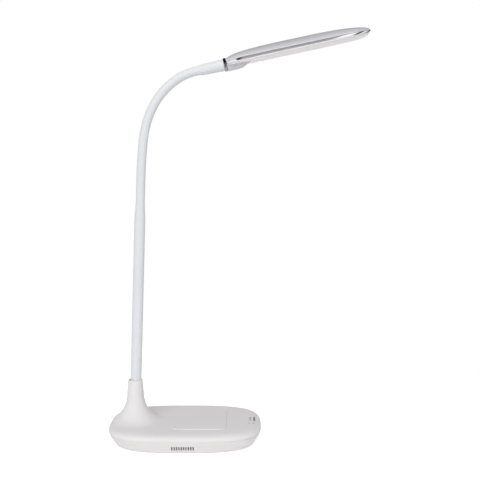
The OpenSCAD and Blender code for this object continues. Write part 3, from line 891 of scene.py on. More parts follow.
@dataclass(frozen=True)
class Foam:
    """Foam rubber: open cells in a dark matt face.

    Attributes:
        cell_mm, cell_depth: Size and depth of the open cells.
        wear_mm: Size of the clouds of wear.
    """

    name: str
    colour: Colour
    cell_mm: float = 0.9
    cell_depth: float = 0.2
    wear_mm: float = 12.0

    def build(self) -> Material:
        """Makes the material.

        Returns:
            The material.
        """
        s = Shader(self.name)
        cells = s.cells(self.cell_mm)
        wear = s.cloud(self.wear_mm, 4.0)
        # The colour is darker at the middle of each cell, where the bump sinks it: painted shade in
        # the pits, mixed with the wear's own tone.
        mottle = cells * 0.6 + wear * 0.4
        return s.finish(
            Base_Color=s.tint(self.colour.shade(0.8), self.colour.shade(1.15), mottle),
            Roughness=wear * 0.1 + 0.82,
            Normal=s.bump(cells, self.cell_depth),
        )


@dataclass(frozen=True)
class Phosphor:
    """Light chip: a yellow lens in a white package.

    Attributes:
        grain_mm, grain_depth: Size and depth of the powder's grain.
    """

    name: str
    colour: Colour
    grain_mm: float = 0.5
    grain_depth: float = 0.01

    def build(self) -> Material:
        """Makes the material.

        Returns:
            The material.
        """
        s = Shader(self.name)
        grain = s.cloud(self.grain_mm, 3.0)
        return s.finish(
            Base_Color=s.tint(self.colour.shade(0.92), self.colour.shade(1.05), grain),
            Roughness=grain * 0.15 + 0.35,
            Normal=s.bump(grain, self.grain_depth),
        )


class Slot(Enum):
    """Material slots of the record, with the finish that each one gets here."""

    cover_white = Moulding("satin white moulding", Colour(232, 230, 230), 0.5, level=0.25)
    pad_grey = Foam("dark foam rubber", Colour(78, 78, 80))
    ballast_steel = BrightMetal("zinc plated plate", Colour(168, 170, 174), 0.34, 0.14, (1, 12, 1))
    screw_steel = BrightMetal("bright zinc screws", Colour(196, 198, 202), 0.24, 0.1)
    board_green = Laminate("green circuit board", Colour(28, 92, 58), Colour(64, 134, 88))
    chip_black = Moulding("black chip packages", Colour(34, 34, 36), 0.5, clouding=0.06)
    spring_brass = BrightMetal("plated springs", Colour(222, 196, 132), 0.22, 0.1)
    mark_grey = Moulding("printed grey marks", Colour(130, 129, 133), 0.55, 0.2, 0.003, 0.4, 0.08)
    inlet_black = Moulding("black inlet moulding", Colour(30, 30, 32), 0.4, clouding=0.05)
    lead_black = Moulding("black lead covering", Colour(32, 32, 34), 0.55, 0.3, 0.01, clouding=0.08)
    brass = BrightMetal("turned brass", Colour(216, 184, 116), 0.22, 0.12, (1, 1, 30))
    tube_steel = BrightMetal("drawn steel tube", Colour(186, 188, 192), 0.26, 0.14, (20, 20, 1))
    sleeve_white = Silicone("cool white silicone", Colour(226, 228, 231))
    core_steel = BrightMetal("steel gooseneck coil", Colour(140, 142, 148), 0.36, 0.16, (1, 1, 40))
    chrome = BrightMetal("bright chrome", Colour(224, 225, 228), 0.05, 0.03)
    shell_silver = Lacquer("silver white lacquer", Colour(228, 228, 231))
    diffuser_white = Opal("opal acrylic", Colour(247, 244, 244))
    housing_white = Moulding("pale socket moulding", Colour(218, 218, 220), 0.36, level=0.4)
    reflector_white = Moulding("white reflector", Colour(240, 240, 240), 0.4)
    led_yellow = Phosphor("phosphor chips", Colour(240, 218, 130))
    aluminium = BrightMetal("plain aluminium sheet", Colour(200, 202, 205), 0.3, 0.14, (1, 14, 1))


# The ring carries the chrome slot, but its chrome is painted darker than the trim's: a painted dark
# reflection.
PAINTED_DARK_RING_CHROME = BrightMetal("ring chrome darkened as painted reflection", Colour(150, 150, 153), 0.08, 0.03)


class Paints:
    """Materials of the record's slots, each made once."""

    def __init__(self) -> None:
        """Makes every slot's material."""
        self.made = {slot: slot.value.build() for slot in Slot}

    def __getitem__(self, slot: Slot) -> Material:
        """Gives the material of a slot."""
        return self.made[slot]

    def carry(self, record: dict) -> int:
        """Paints every CAD node by its slot in the record.

        Args:
            record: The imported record.

        Returns:
            The number of nodes painted.
        """
        for part in record["subparts"]:
            node = frame["nodes"][part["node"]]
            paint = self[Slot[part["material_slot"]]]
            for holder in node.material_slots:
                holder.material = paint
            if not node.material_slots:
                node.data.materials.append(paint)
        return len(record["subparts"])


def stands_for(piece: Object, slot: Slot, body: str | None, *nodes: str) -> Object:
    """Hides the CAD nodes that a piece stands for, and sets the piece on the body it rides on.

    Args:
        piece: The finished piece.
        slot: The record's material slot; not used.
        body: The CAD body, or None to leave the piece on no body.
        nodes: The CAD nodes that it stands for.

    Returns:
        The piece.
    """
    if nodes:
        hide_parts(*nodes)
    if body is not None:
        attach(piece, body)
    LOG.info("%s: %d faces", piece.name, len(piece.data.polygons))
    return piece


# ---------------------------------------------------------------- base


@dataclass
class Base:
    """Base of the lamp: the two covers, the raised rest, the vents and the touch marks.

    Attributes:
        paints, repeat: Materials of the slots, and the tree that sets bars in a row.
        half_l, half_w, outline_p: Half sizes and exponent of the outline.
        height, lip_z, split_z, floor_z: Heights of the flat top, the widest line, the seam
            between the covers and the underside.
        shoulder, shoulder_p: Width and exponent of the round shoulder.
        undercut, undercut_p, foot_turn: How far the lower cover draws in, the exponent of
            its curve, and the width of its turn at the foot.
        wall: Thickness of the covers.
        neck_x: Place of the neck's axis.
        flare_r, flare_foot_r, flare_h: Radius and height of the flare under the boss, and
            the radius at which it gives way to the top.
        waist_r, boss_h, boss_top_r, boss_bore_r: Radii and height of the boss.
        rest, rest_x: Length, width and corner radius of the raised rest, and its place.
        vent_count, vent_at, vent_pitch, vent_size: Number of the vents, place of the first,
            their pitch, and the width and height of one.
        jack_z, jack_r: Height and radius of the inlet's hole.
        print_t, print_sink: Thickness of the printed marks, and their depth in the top.
        dimmer_at, bar_at, bar_half, dots_x, dots_y, dot_r: Places and sizes of the marks.
        columns, angles, rays: Number of the skins' columns, and the parameter and direction
            of each.
    """

    paints: Paints
    repeat: RepeatTree
    half_l: float = 84.5
    half_w: float = 62.0
    outline_p: float = 3.2
    height: float = 21.3
    lip_z: float = 15.3
    split_z: float = 14.5
    floor_z: float = 1.0
    shoulder: float = 14.0
    shoulder_p: float = 2.6
    undercut: float = 8.0
    undercut_p: float = 1.25
    foot_turn: float = 1.2
    wall: float = 2.0
    neck_x: float = -56.2
    flare_r: float = 34.0
    flare_foot_r: float = 14.0
    flare_h: float = 31.0
    waist_r: float = 9.2
    boss_h: float = 67.0
    boss_top_r: float = 7.8
    boss_bore_r: float = 6.8
    rest: Triple = (60.0, 76.0, 9.0)
    rest_x: float = 16.0
    vent_count: int = 10
    vent_at: Pair = (-11.35, 6.8)
    vent_pitch: float = 2.52
    vent_size: Pair = (1.25, 4.8)
    jack_z: float = 8.8
    jack_r: float = 4.2
    print_t: float = 0.09
    print_sink: float = 0.06
    dimmer_at: Pair = (72.4, -6.1)
    bar_at: Pair = (76.9, 0.3)
    bar_half: Triple = (0.95, 7.2, 0.9)
    dots_x: Pair = (70.9, 75.9)
    dots_y: float = -14.8
    dot_r: float = 0.8
    columns: int = 288
    angles: list[float] = field(default_factory=list)
    rays: list[Vector] = field(default_factory=list)

    # Edge of the rest from its foot up: how far it is drawn in, and its height over the top.
    REST_EDGE = (
        (0.3, -1.25), (0.0, -0.02), (0.03, 0.3), (0.12, 0.5),
        (0.3, 0.66), (0.6, 0.77), (1.0, 0.8), (3.0, 0.8),
    )
    # Rings on the boss's side, its flare, the top and the shoulder, and on the lower cover.
    BOSS_ROWS, FLARE_ROWS, TOP_ROWS, SHOULDER_ROWS, LOWER_ROWS = 8, 14, 40, 24, 26

    def __post_init__(self) -> None:
        """Spreads the columns of the skins evenly along the lip."""
        self.angles = even_angles(self.half_l, self.half_w, self.outline_p, self.columns)
        for angle in self.angles:
            x, y = oval_point(angle, self.half_l, self.half_w, self.outline_p)
            self.rays.append(Vector((x - self.neck_x, y, 0)).normalized())

    def build(self) -> None:
        """Makes the pieces of the base."""
        self.cover()
        self.lower_cover()
        self.marks()

    def ring(self, inset: float, z: float) -> Ring:
        """Outline of the base, drawn in by an inset, at a height."""
        a, b = self.half_l - inset, self.half_w - inset
        return [Vector((*oval_point(angle, a, b, self.outline_p), z)) for angle in self.angles]

    def polar(self, ray: Vector, radius: float, z: float) -> Vector:
        """Point at a distance from the neck's axis along a ray."""
        return Vector((self.neck_x + ray.x * radius, ray.y * radius, z))

    def round_ring(self, radius: float, z: float) -> Ring:
        """Ring round the neck's axis at one distance and height."""
        return [self.polar(ray, radius, z) for ray in self.rays]

    def reach(self, ray: Vector, inset: float) -> float:
        """Finds the outline, drawn in by an inset, along a ray by halving the way to it.

        Args:
            ray: Direction from the neck's axis.
            inset: How far the outline is drawn in.

        Returns:
            The outline's distance from the axis.
        """
        a, b, p = self.half_l - inset, self.half_w - inset, self.outline_p
        low, high = 0.0, 2 * self.half_l
        for _ in range(40):
            mid = (low + high) / 2
            x, y = (self.neck_x + ray.x * mid) / a, ray.y * mid / b
            if abs(x) ** p + abs(y) ** p < 1:
                low = mid
            else:
                high = mid
        return low

    def shoulder_z(self, inset: float) -> float:
        """Height of the shoulder at an inset from the lip."""
        share, p = 1 - min(1.0, max(inset, 0.0) / self.shoulder), self.shoulder_p
        return self.lip_z + (self.height - self.lip_z) * (1 - share**p) ** (1 / p)

    def flare_z(self, radius: float) -> float:
        """Height of the flare over the flat top.

        Args:
            radius: Distance from the neck's axis.

        Returns:
            The height, nothing outside the flare.
        """
        share = (self.flare_r - radius) / (self.flare_r - self.waist_r)
        turn = math.asin(min(max(share, 0.0), 1.0))
        return self.flare_h * (1 - math.cos(turn))

    def boss_rings(self) -> list[Ring]:
        """Rings up the bore of the boss, over its rim and down its side to the waist.

        Returns:
            The rings.
        """
        bore, rim, top = self.boss_bore_r, self.boss_top_r, self.boss_h
        profile = [(bore, 20.0), (bore, 44.0), (bore, 62.0), (bore, top - 0.35)]
        profile += [(bore + 0.1, top - 0.1), (bore + 0.32, top), (rim - 0.32, top)]
        profile += [(rim - 0.08, top - 0.1), (rim + 0.03, top - 0.4)]
        waist_z = self.height + self.flare_h
        for k in range(1, self.BOSS_ROWS + 1):
            share = k / self.BOSS_ROWS
            profile.append((rim + (self.waist_r - rim) * share, top + (waist_z - top) * share))
        return [self.round_ring(radius, z) for radius, z in profile]

    def flare_rings(self) -> list[Ring]:
        """Rings down the flare and out over the flat top to the shoulder.

        Returns:
            The rings.
        """
        rings = []
        foot, spread = self.flare_foot_r, self.flare_r - self.waist_r
        start, last = math.pi / 2, math.asin((self.flare_r - foot) / spread)
        for k in range(1, self.FLARE_ROWS + 1):
            turn = start + (last - start) * k / self.FLARE_ROWS
            radius = self.flare_r - spread * math.sin(turn)
            rings.append(self.round_ring(radius, self.height + self.flare_z(radius)))
        edges = [self.reach(ray, self.shoulder) for ray in self.rays]
        for k in range(1, self.TOP_ROWS + 1):
            share = (k / self.TOP_ROWS) ** 1.5
            ring = []
            for ray, edge in zip(self.rays, edges):
                radius = foot + (edge - foot) * share
                ring.append(self.polar(ray, radius, self.height + self.flare_z(radius)))
            rings.append(ring)
        return rings

    def shoulder_rings(self) -> list[Ring]:
        """Rings over the shoulder, down the lip and in along the seam.

        Returns:
            The rings.
        """
        rings = []
        for k in range(1, self.SHOULDER_ROWS + 1):
            inset = self.shoulder * (1 - k / self.SHOULDER_ROWS) ** 2.2
            fade, low = smooth(inset / 7), self.shoulder_z(inset)
            ring = []
            for ray in self.rays:
                radius = self.reach(ray, inset)
                ring.append(self.polar(ray, radius, low + self.flare_z(radius) * fade))
            rings.append(ring)
        rings += [self.ring(0.03, self.lip_z - 0.35), self.ring(0.14, self.split_z + 0.18)]
        return rings + [self.ring(inset, self.split_z) for inset in (0.4, self.wall)]

    def inner_rings(self) -> list[Ring]:
        """Rings along the inside of the cover, from the seam back to the bore.

        Returns:
            The rings.
        """
        rings = []
        for inset in (2.4, 3.2, 5.0, 8.0, 12.0, 16.0):
            z = self.shoulder_z(inset - self.wall) - self.wall
            reaches = (max(self.reach(ray, inset), self.boss_bore_r + 0.5) for ray in self.rays)
            rings.append([self.polar(ray, r, z) for ray, r in zip(self.rays, reaches)])
        return rings + [self.round_ring(self.boss_bore_r + 0.2, self.height - self.wall)]

    def cover(self) -> None:
        """Upper cover with the boss and the low raised rest."""
        rings = self.boss_rings() + self.flare_rings() + self.shoulder_rings() + self.inner_rings()
        skin = Solid().loft(rings, closed=True)
        cover = skin.make("base_cover_skin", self.paints[Slot.cover_white], 40)
        carve(cover, [self.rest_block()], Carving.ADD)
        stands_for(cover, Slot.cover_white, "base", "base_cover")

    def rest_block(self) -> Object:
        """Low rounded block with a soft top edge, which stands out of the top.

        Returns:
            The block, to be joined to the cover.
        """
        length, width, radius = self.rest
        rings = []
        for inset, rise in self.REST_EDGE:
            outline = round_outline(length / 2 - inset, width / 2 - inset, radius - inset, 12)
            rings.append([Vector((self.rest_x + x, y, self.height + rise)) for x, y in outline])
        return Solid().loft(rings).make("rest_block", None)

    def lower_rings(self) -> list[Ring]:
        """Rings from the underside out round the foot, up to the seam and down inside.

        Returns:
            The rings.
        """
        foot, low, top = self.undercut + self.foot_turn, self.floor_z, self.split_z
        rings = [self.ring(foot + 3.0, low + 0.5)]
        rings += [self.ring(foot + inset, low) for inset in (3.0, 0.5)]
        for k in range(self.LOWER_ROWS + 1):
            t = (k / self.LOWER_ROWS) ** 1.4
            inset = self.undercut * (1 - t) ** self.undercut_p + 0.3 * t
            inset += self.foot_turn * (1 - smooth(t / 0.06))
            rings.append(self.ring(inset, low + (top - 0.25 - low) * t))
        rings += [self.ring(inset, top - 0.05) for inset in (0.6, self.wall + 0.3)]
        for z in (12.5, 10.0, 7.5, 5.0, low + self.wall):
            t = (z - low) / (top - low)
            rings.append(self.ring(self.undercut * (1 - t) ** self.undercut_p + self.wall + 0.6, z))
        return rings

    def vent_cutters(self) -> Object:
        """Row of bars that cut the vent slots through the near wall.

        Returns:
            The row.
        """
        x, z = self.vent_at
        width, length = self.vent_size
        place = Matrix.Translation((x, -self.half_w - 2, z)) @ turn_about("X", -90)
        return self.repeat.build(
            "vent_cutters", place, Count=self.vent_count, Spacing=(self.vent_pitch, 0, 0),
            Width=width, Length=length, Corner=0.5, Depth=16.0, Taper=0.0,
        )

    def inlet_cutter(self) -> Object:
        """Round bar that cuts the hole for the inlet.

        Returns:
            The bar.
        """
        bar = Solid().turned([(self.jack_r, 0), (self.jack_r, 14)], 48, closed=False)
        place = Matrix.Translation((-self.half_l - 1, 0, self.jack_z)) @ turn_about("Y", 90)
        return bar.put(place).make("inlet_cutter", None)

    def lower_cover(self) -> None:
        """Lower cover with its vent slots and the hole for the inlet."""
        skin = Solid().loft(self.lower_rings())
        body = skin.make("base_bottom_skin", self.paints[Slot.cover_white], 40)
        carve(body, [self.vent_cutters(), self.inlet_cutter()])
        stands_for(body, Slot.cover_white, "base", "base_bottom")

    def marks(self) -> None:
        """Printed touch marks: a stepped dimmer mark, a plain bar and two dots."""
        ink = self.paints[Slot.mark_grey]
        low = self.height - self.print_sink
        levels = (low, low + self.print_t)
        ticks = self.repeat.build(
            "touch_marks_ticks", Matrix.Translation((*self.dimmer_at, low)), Count=5,
            Spacing=(0, 3.0, 0), Width=2.0, Length=0.9, Corner=0.3, Depth=self.print_t,
            Taper=0.25, Finish=ink,
        )
        solid = Solid()
        mid_x, mid_y = self.bar_at
        bar = round_outline(*self.bar_half, 8)
        solid.loft([[Vector((mid_x + x, mid_y + y, z)) for x, y in bar] for z in levels])
        turns = [2 * math.pi * i / 24 for i in range(24)]
        dot = [(self.dot_r * math.cos(a), self.dot_r * math.sin(a)) for a in turns]
        for x in self.dots_x:
            solid.loft([[Vector((x + u, self.dots_y + v, z)) for u, v in dot] for z in levels])
        prints = solid.make("touch_marks_bars", ink)
        dress(ticks, ink, 35)
        stands_for(prints, Slot.mark_grey, "base", "touch_marks")
        stands_for(ticks, Slot.mark_grey, "base")


# ---------------------------------------------------------------- neck


@dataclass
class Neck:
    """Stem and flexible neck: one silicone skin, cut in lengths, one over each hinge.

    Attributes:
        paints: Materials of the slots.
        lean, pivot_h: Lean of the stem, and the height at which it crosses the boss's axis.
        neck_x: Place of the boss's axis.
        stem_l: Distance along the axis from the table to the first bend.
        link_l, link_bends: Length of a link, and how far each bends in the photograph.
        ferrule_l, ring_half: Distance from the last bend to the ring, and half its width.
        taper_l, taper_even: Length of the taper under the first bend, and its straight share.
        stem_r, neck_r, end_r: Radii of the stem, the neck and its thicker end.
        swell_l, creep, creep_from, creep_l: Length of the end's swelling, and how much it
            still grows after that, from where and over what length.
        bore_r, tube_r: Radii of the bore over the coil and over the tube and ferrule.
        skin_s0: Where the skin starts inside the boss.
        blend_half: Half a length round each hinge, whose ends are worked out but not used.
        around: Columns of the skin.
    """

    paints: Paints
    lean: float = 2.0
    pivot_h: float = 49.0
    neck_x: float = -56.2
    stem_l: float = 266.5
    link_l: float = 21.0
    link_bends: tuple[float, ...] = (0, 1.5, 2.5, 8, 14, 14, 16, 20)
    ferrule_l: float = 32.4
    ring_half: float = 1.65
    taper_l: float = 21.0
    taper_even: float = 0.35
    stem_r: float = 6.0
    neck_r: float = 5.0
    end_r: float = 6.4
    swell_l: float = 9.0
    creep: float = 0.5
    creep_from: float = 6.0
    creep_l: float = 24.0
    bore_r: float = 4.0
    tube_r: float = 5.02
    skin_s0: float = 33.0
    blend_half: float = 9.0
    around: int = 56

    def bend_s(self, k: int) -> float:
        """Distance along the neck from the table to bend k."""
        return self.stem_l + self.link_l * k

    @staticmethod
    def along(angle: float) -> Vector:
        """Direction of the axis where it leans by an angle from the vertical."""
        return Vector((math.sin(angle), 0, math.cos(angle)))

    def at(self, s: float) -> tuple[Vector, float]:
        """Point of the neck's axis and its angle from the vertical, in radians.

        Args:
            s: Distance along the axis from the table, in millimetres.

        Returns:
            The point and the angle.
        """
        angle = math.radians(self.lean)
        start = Vector((self.neck_x - self.pivot_h * math.tan(angle), 0, 0))
        if s <= self.stem_l:
            return start + s * self.along(angle), angle
        point = start + self.stem_l * self.along(angle)
        rest = s - self.stem_l
        for bend in self.link_bends:
            length = min(rest, self.link_l)
            turn = math.radians(bend) * length / self.link_l
            point, angle = self.arc(point, angle, length, turn)
            rest -= length
            if rest <= 0:
                return point, angle
        return point + rest * self.along(angle), angle

    @classmethod
    def arc(cls, point: Vector, angle: float, length: float, turn: float) -> tuple[Vector, float]:
        """Follows an arc that turns towards +X.

        Args:
            point: Where it starts.
            angle: Its angle from the vertical there, in radians.
            length: Its length.
            turn: The angle that it turns by, in radians.

        Returns:
            Its end, and its angle from the vertical there.
        """
        if turn < 1e-6:
            return point + length * cls.along(angle), angle
        radius, after = length / turn, angle + turn
        end = (math.cos(angle) - math.cos(after), 0, math.sin(after) - math.sin(angle))
        return point + radius * Vector(end), after

    def outer(self, s: float) -> float:
        """Outer radius of the skin.

        Args:
            s: Distance along the axis.

        Returns:
            The radius.
        """
        last = self.bend_s(len(self.link_bends))
        if s < last:
            t = (s - (self.stem_l - self.taper_l)) / self.taper_l
            even, soft = self.taper_even, 1 - self.taper_even
            share = even * min(max(t, 0), 1) + soft * smooth(t)
            return self.stem_r + (self.neck_r - self.stem_r) * share
        swell = (self.end_r - self.creep - self.neck_r) * smooth((s - last) / self.swell_l)
        slow = self.creep * smooth((s - last - self.creep_from) / self.creep_l)
        return self.neck_r + swell + slow

    def inner(self, s: float) -> float:
        """Bore of the skin, which widens over the stem's tube and over the ferrule.

        Args:
            s: Distance along the axis.

        Returns:
            The radius.
        """
        low = 1 - smooth((s - (self.stem_l - self.taper_l) - 1.6) / 2)
        high = smooth((s - self.bend_s(len(self.link_bends)) - 4.2) / 1.4)
        return self.bore_r + (self.tube_r - self.bore_r) * max(low, high)

    def ring(self, s: float, radius: float) -> Ring:
        """Ring of the skin, square to the axis.

        Args:
            s: Distance along the axis.
            radius: Its radius.

        Returns:
            The ring.
        """
        centre, angle = self.at(s)
        side = Vector((math.cos(angle), 0, -math.sin(angle)))
        turn = 2 * math.pi / self.around
        return [
            centre + radius * (side * math.cos(turn * i) + Vector((0, math.sin(turn * i), 0)))
            for i in range(self.around)
        ]

    def skin(self, name: str, start: float, end: float) -> Object:
        """One length of the skin, with its bore.

        Args:
            name: Name of the piece.
            start: Distance along the neck where it starts.
            end: Distance where it ends.

        Returns:
            The piece.
        """
        coarse, fine, least = 4.0, 1.05, 0.4
        straight_to = self.stem_l - self.taper_l - coarse
        stations = [start]
        while stations[-1] < end - 1e-6:
            step = coarse if stations[-1] < straight_to else fine
            stations.append(min(stations[-1] + step, end))
        if stations[-1] - stations[-2] < least:
            del stations[-2]
        rings = [self.ring(s, self.outer(s)) for s in stations]
        rings += [self.ring(s, self.inner(s)) for s in reversed(stations)]
        return Solid().loft(rings, closed=True).make(name, self.paints[Slot.sleeve_white], 60)

    def build(self) -> None:
        """Makes the skin's nine lengths, from mid link to mid link, each bent over one hinge."""
        count = len(self.link_bends)
        half = self.link_l / 2
        for k in range(count + 1):
            bend = self.bend_s(k)
            start = bend - half if k else self.skin_s0
            end = bend + half if k < count else bend + self.ferrule_l - self.ring_half
            piece = self.skin(f"neck_skin_{k + 1}", start, end)
            nodes = ["stem_sleeve"] if k == 0 else [f"neck_sleeve_{k}"]
            if k == count:
                nodes.append("end_sleeve")
            low, _ = self.at(bend - self.blend_half)
            high, _ = self.at(bend + self.blend_half)
            stands_for(piece, Slot.sleeve_white, None, *nodes)
            tuple(low * MM)
            tuple(high * MM)
            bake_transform(piece)

    def head_place(self) -> Matrix:
        """Frame of the head: its X runs on from the neck, its Z is square to the trim.

        Returns:
            The frame's place, in millimetres.
        """
        centre, angle = self.at(self.bend_s(len(self.link_bends)) + self.ferrule_l)
        up = Vector((-math.cos(angle), 0, math.sin(angle)))
        turn = Matrix((self.along(angle), Vector((0, 1, 0)), up)).transposed().to_4x4()
        return Matrix.Translation(centre) @ turn


# ---------------------------------------------------------------- head


@dataclass
class Head:
    """Light head: dome, trim, diffuser, socket and ring.

    Attributes:
        paints: Materials of the slots.
        place: Frame of the head, whose X starts at the middle of the ring.
        rear, front, half_w, outline_p: Ends, half width and exponent of the outline.
        lens_z0, trim_z0, trim_z1: Heights of the window's face, and of the trim's low and
            high edge.
        dome_h, rear_p, front_p, cross_p: Height of the dome, and the exponents of its two
            ends and of its section.
        shell_t, trim_t: Thickness of the shell and width of the trim's frame.
        front_rise, rear_rise, side_rise, rake: How far the face stops short of the front,
            rear and sides, and the exponent of the slope between.
        socket_x0, socket_r, socket_l, socket_top: Start, radius, end and flat top of the
            socket.
        ring_r, ring_half, bore_r: Radius of the ring, half its width, and its bore.
        columns, angles: Number of the skins' columns, and the parameter of each.
    """

    paints: Paints
    place: Matrix
    rear: float = -0.5
    front: float = 160.5
    half_w: float = 23.5
    outline_p: float = 4.0
    lens_z0: float = -2.0
    trim_z0: float = -0.2
    trim_z1: float = 2.1
    dome_h: float = 9.8
    rear_p: float = 2.75
    front_p: float = 2.3
    cross_p: float = 2.0
    shell_t: float = 1.8
    trim_t: float = 2.6
    front_rise: float = 6.5
    rear_rise: float = 4.5
    side_rise: float = 1.0
    rake: float = 1.85
    socket_x0: float = 1.75
    socket_r: float = 7.55
    socket_l: float = 18.5
    socket_top: float = 5.0
    ring_r: float = 7.35
    ring_half: float = 1.65
    bore_r: float = 5.02
    columns: int = 264
    angles: list[float] = field(default_factory=list)

    # Edge of the window's face: height over the face, and how far it is drawn in.
    WINDOW_EDGE = ((0.0, 2.2), (0.015, 1.4), (0.08, 0.8), (0.22, 0.42), (0.42, 0.2), (0.7, 0.08))
    DOME_ROWS, TRIM_ROWS, CROWN_ROWS = 34, 10, 6

    def __post_init__(self) -> None:
        """Spreads the columns of the skins evenly round the head."""
        half = (self.front - self.rear) / 2
        self.angles = even_angles(half, self.half_w, self.outline_p, self.columns)

    def build(self) -> None:
        """Makes the pieces of the head."""
        self.dome()
        self.trim()
        self.diffuser()
        self.socket()
        self.ring_piece()

    def outline(self, x0: float, x1: float, half_w: float, z: float) -> Ring:
        """Outline of the head, flat at the rear where the ring meets it.

        Args:
            x0: Its rear end.
            x1: Its front end.
            half_w: Half its width.
            z: Its height.

        Returns:
            The ring.
        """
        mid, half = (x0 + x1) / 2, (x1 - x0) / 2
        ring = []
        for angle in self.angles:
            x, y = oval_point(angle, half, half_w, self.outline_p)
            ring.append(Vector((max(mid + x, self.socket_x0), y, z)))
        return ring

    def dome_ring(self, drop: float, share: float) -> Ring:
        """Ring of the dome.

        Args:
            drop: How far it is drawn in, for the inner skin.
            share: Its share of the dome's width.

        Returns:
            The ring.
        """
        lift = (1 - share**self.cross_p) ** (1 / self.cross_p)
        mid, half = (self.front + self.rear) / 2, (self.front - self.rear) / 2
        back = half * (1 - lift**self.rear_p) ** (1 / self.rear_p)
        fore = half * (1 - lift**self.front_p) ** (1 / self.front_p)
        half_w, z = self.half_w * share - 0.9 * drop, self.trim_z1 + (self.dome_h - drop) * lift
        return self.outline(mid - back + drop, mid + fore - drop, half_w, z)

    def dome(self) -> None:
        """Domed shell: its outer skin, and its inner one drawn in by the wall."""
        shares = [1 - 0.995 * (k / self.DOME_ROWS) ** 1.7 for k in range(self.DOME_ROWS)]
        inner = [share for share in shares if share > 0.1]
        rings = [self.dome_ring(self.shell_t, share) for share in reversed(inner)]
        for inset, rise in ((0.5, 0.0), (0.06, 0.04)):
            rear, front, half_w = self.rear + inset, self.front - inset, self.half_w - inset
            rings.append(self.outline(rear, front, half_w, self.trim_z1 + rise))
        outer = [self.dome_ring(0, share) for share in shares]
        outer[0] = [v + Vector((0, 0, 0.15)) for v in outer[0]]
        tip = sum(outer[-1], Vector()) / len(outer[-1]) + Vector((0, 0, 0.005))
        solid = Solid().loft(rings + outer, tip=tip).put(self.place)
        piece = solid.make("head_shell_skin", self.paints[Slot.shell_silver], 50)
        stands_for(piece, Slot.shell_silver, "head", "head_shell")

    def skirt(self, z: float, inset: float) -> Ring:
        """Outline of the raked body under the widest line.

        Args:
            z: Its height.
            inset: How far it is drawn in.

        Returns:
            The ring.
        """
        rake = ((self.trim_z1 - z) / (self.trim_z1 - self.lens_z0)) ** self.rake
        rear = self.rear + self.rear_rise * rake + inset
        front = self.front - self.front_rise * rake - inset
        return self.outline(rear, front, self.half_w - self.side_rise * rake - inset, z)

    def window(self, inset: float, z: float) -> Ring:
        """Outline of the window in the trim.

        Args:
            inset: How far it is drawn in.
            z: Its height.

        Returns:
            The ring.
        """
        gap = self.trim_t + inset
        rear, front = self.rear + self.rear_rise + gap, self.front - self.front_rise - gap
        return self.outline(rear, front, self.half_w - self.side_rise - gap, z)

    def trim(self) -> None:
        """Bright band round the head between the dome and the opal window."""
        low, high, rows = self.trim_z0, self.trim_z1 - 0.02, self.TRIM_ROWS
        levels = [low + (high - low) * k / rows for k in range(rows + 1)]
        rings = [self.skirt(low, 0.3)]
        rings += [self.skirt(z, 0.1 * smooth((z - high + 0.3) / 0.3)) for z in levels]
        rings += [self.window(0.0, high), self.window(0.0, low)]
        solid = Solid().loft(rings, closed=True).put(self.place)
        piece = solid.make("trim_band", self.paints[Slot.chrome], 45)
        stands_for(piece, Slot.chrome, "head", "trim_frame")

    def diffuser(self) -> None:
        """Opal window that stands out under the trim, with soft edges."""
        low, high = self.lens_z0, self.trim_z0 - 0.03
        rings = [self.skirt(low + rise, inset) for rise, inset in self.WINDOW_EDGE]
        rings += [self.skirt(low + (high - low) * k / 4, 0.05) for k in (2, 3)]
        rings += [self.skirt(high - 0.05, 0.1), self.skirt(high, 0.25)]
        rings += [self.window(0.15, high), self.window(0.15, high + 0.9)]
        solid = Solid().loft(rings).put(self.place)
        piece = solid.make("diffuser_window", self.paints[Slot.diffuser_white], 50)
        stands_for(piece, Slot.diffuser_white, "head", "diffuser")

    def socket(self) -> None:
        """Moulded socket under the rear, with a ramp where it runs into the head."""
        r, x0, x1 = self.socket_r, self.socket_x0, self.socket_l
        profile = [(0.4, x0), (r - 0.3, x0), (r - 0.08, x0 + 0.1), (r, x0 + 0.4)]
        profile += [(r, 9.0), (r - 0.25, 14.0), (r - 0.62, x1 - 0.6), (r - 0.74, x1)]
        profile += [(r - 1.0, x1 + 0.55), (r - 3.4, x1 + 5.0)]
        profile += [(r - 5.8, x1 + 10.0), (0.4, x1 + 10.0)]
        solid = Solid().turned(profile, 96, closed=False).put(turn_about("Y", 90))
        for v in solid.verts:
            v.z = min(v.z, self.socket_top)
        piece = solid.put(self.place).make("socket_skin", self.paints[Slot.housing_white], 35)
        stands_for(piece, Slot.housing_white, "head", "socket_housing")

    def ring_piece(self) -> None:
        """Ring between the sleeve and the head, with a soft crown; its chrome is painted darker
        than the trim's, a painted dark reflection.
        """
        half, crown = self.ring_half, 0.5
        profile = [(self.bore_r, -half), (self.ring_r - crown, -half)]
        for k in range(-self.CROWN_ROWS, self.CROWN_ROWS + 1):
            t = k / self.CROWN_ROWS
            profile.append((self.ring_r - crown * abs(t) ** 5, (half - 0.02) * t))
        profile.append((self.bore_r, half))
        solid = Solid().turned(profile, 96).put(self.place @ turn_about("Y", 90))
        piece = solid.make("chrome_ring_band", PAINTED_DARK_RING_CHROME.build(), 40)
        stands_for(piece, Slot.chrome, "head", "chrome_ring")


# ---------------------------------------------------------------- studio


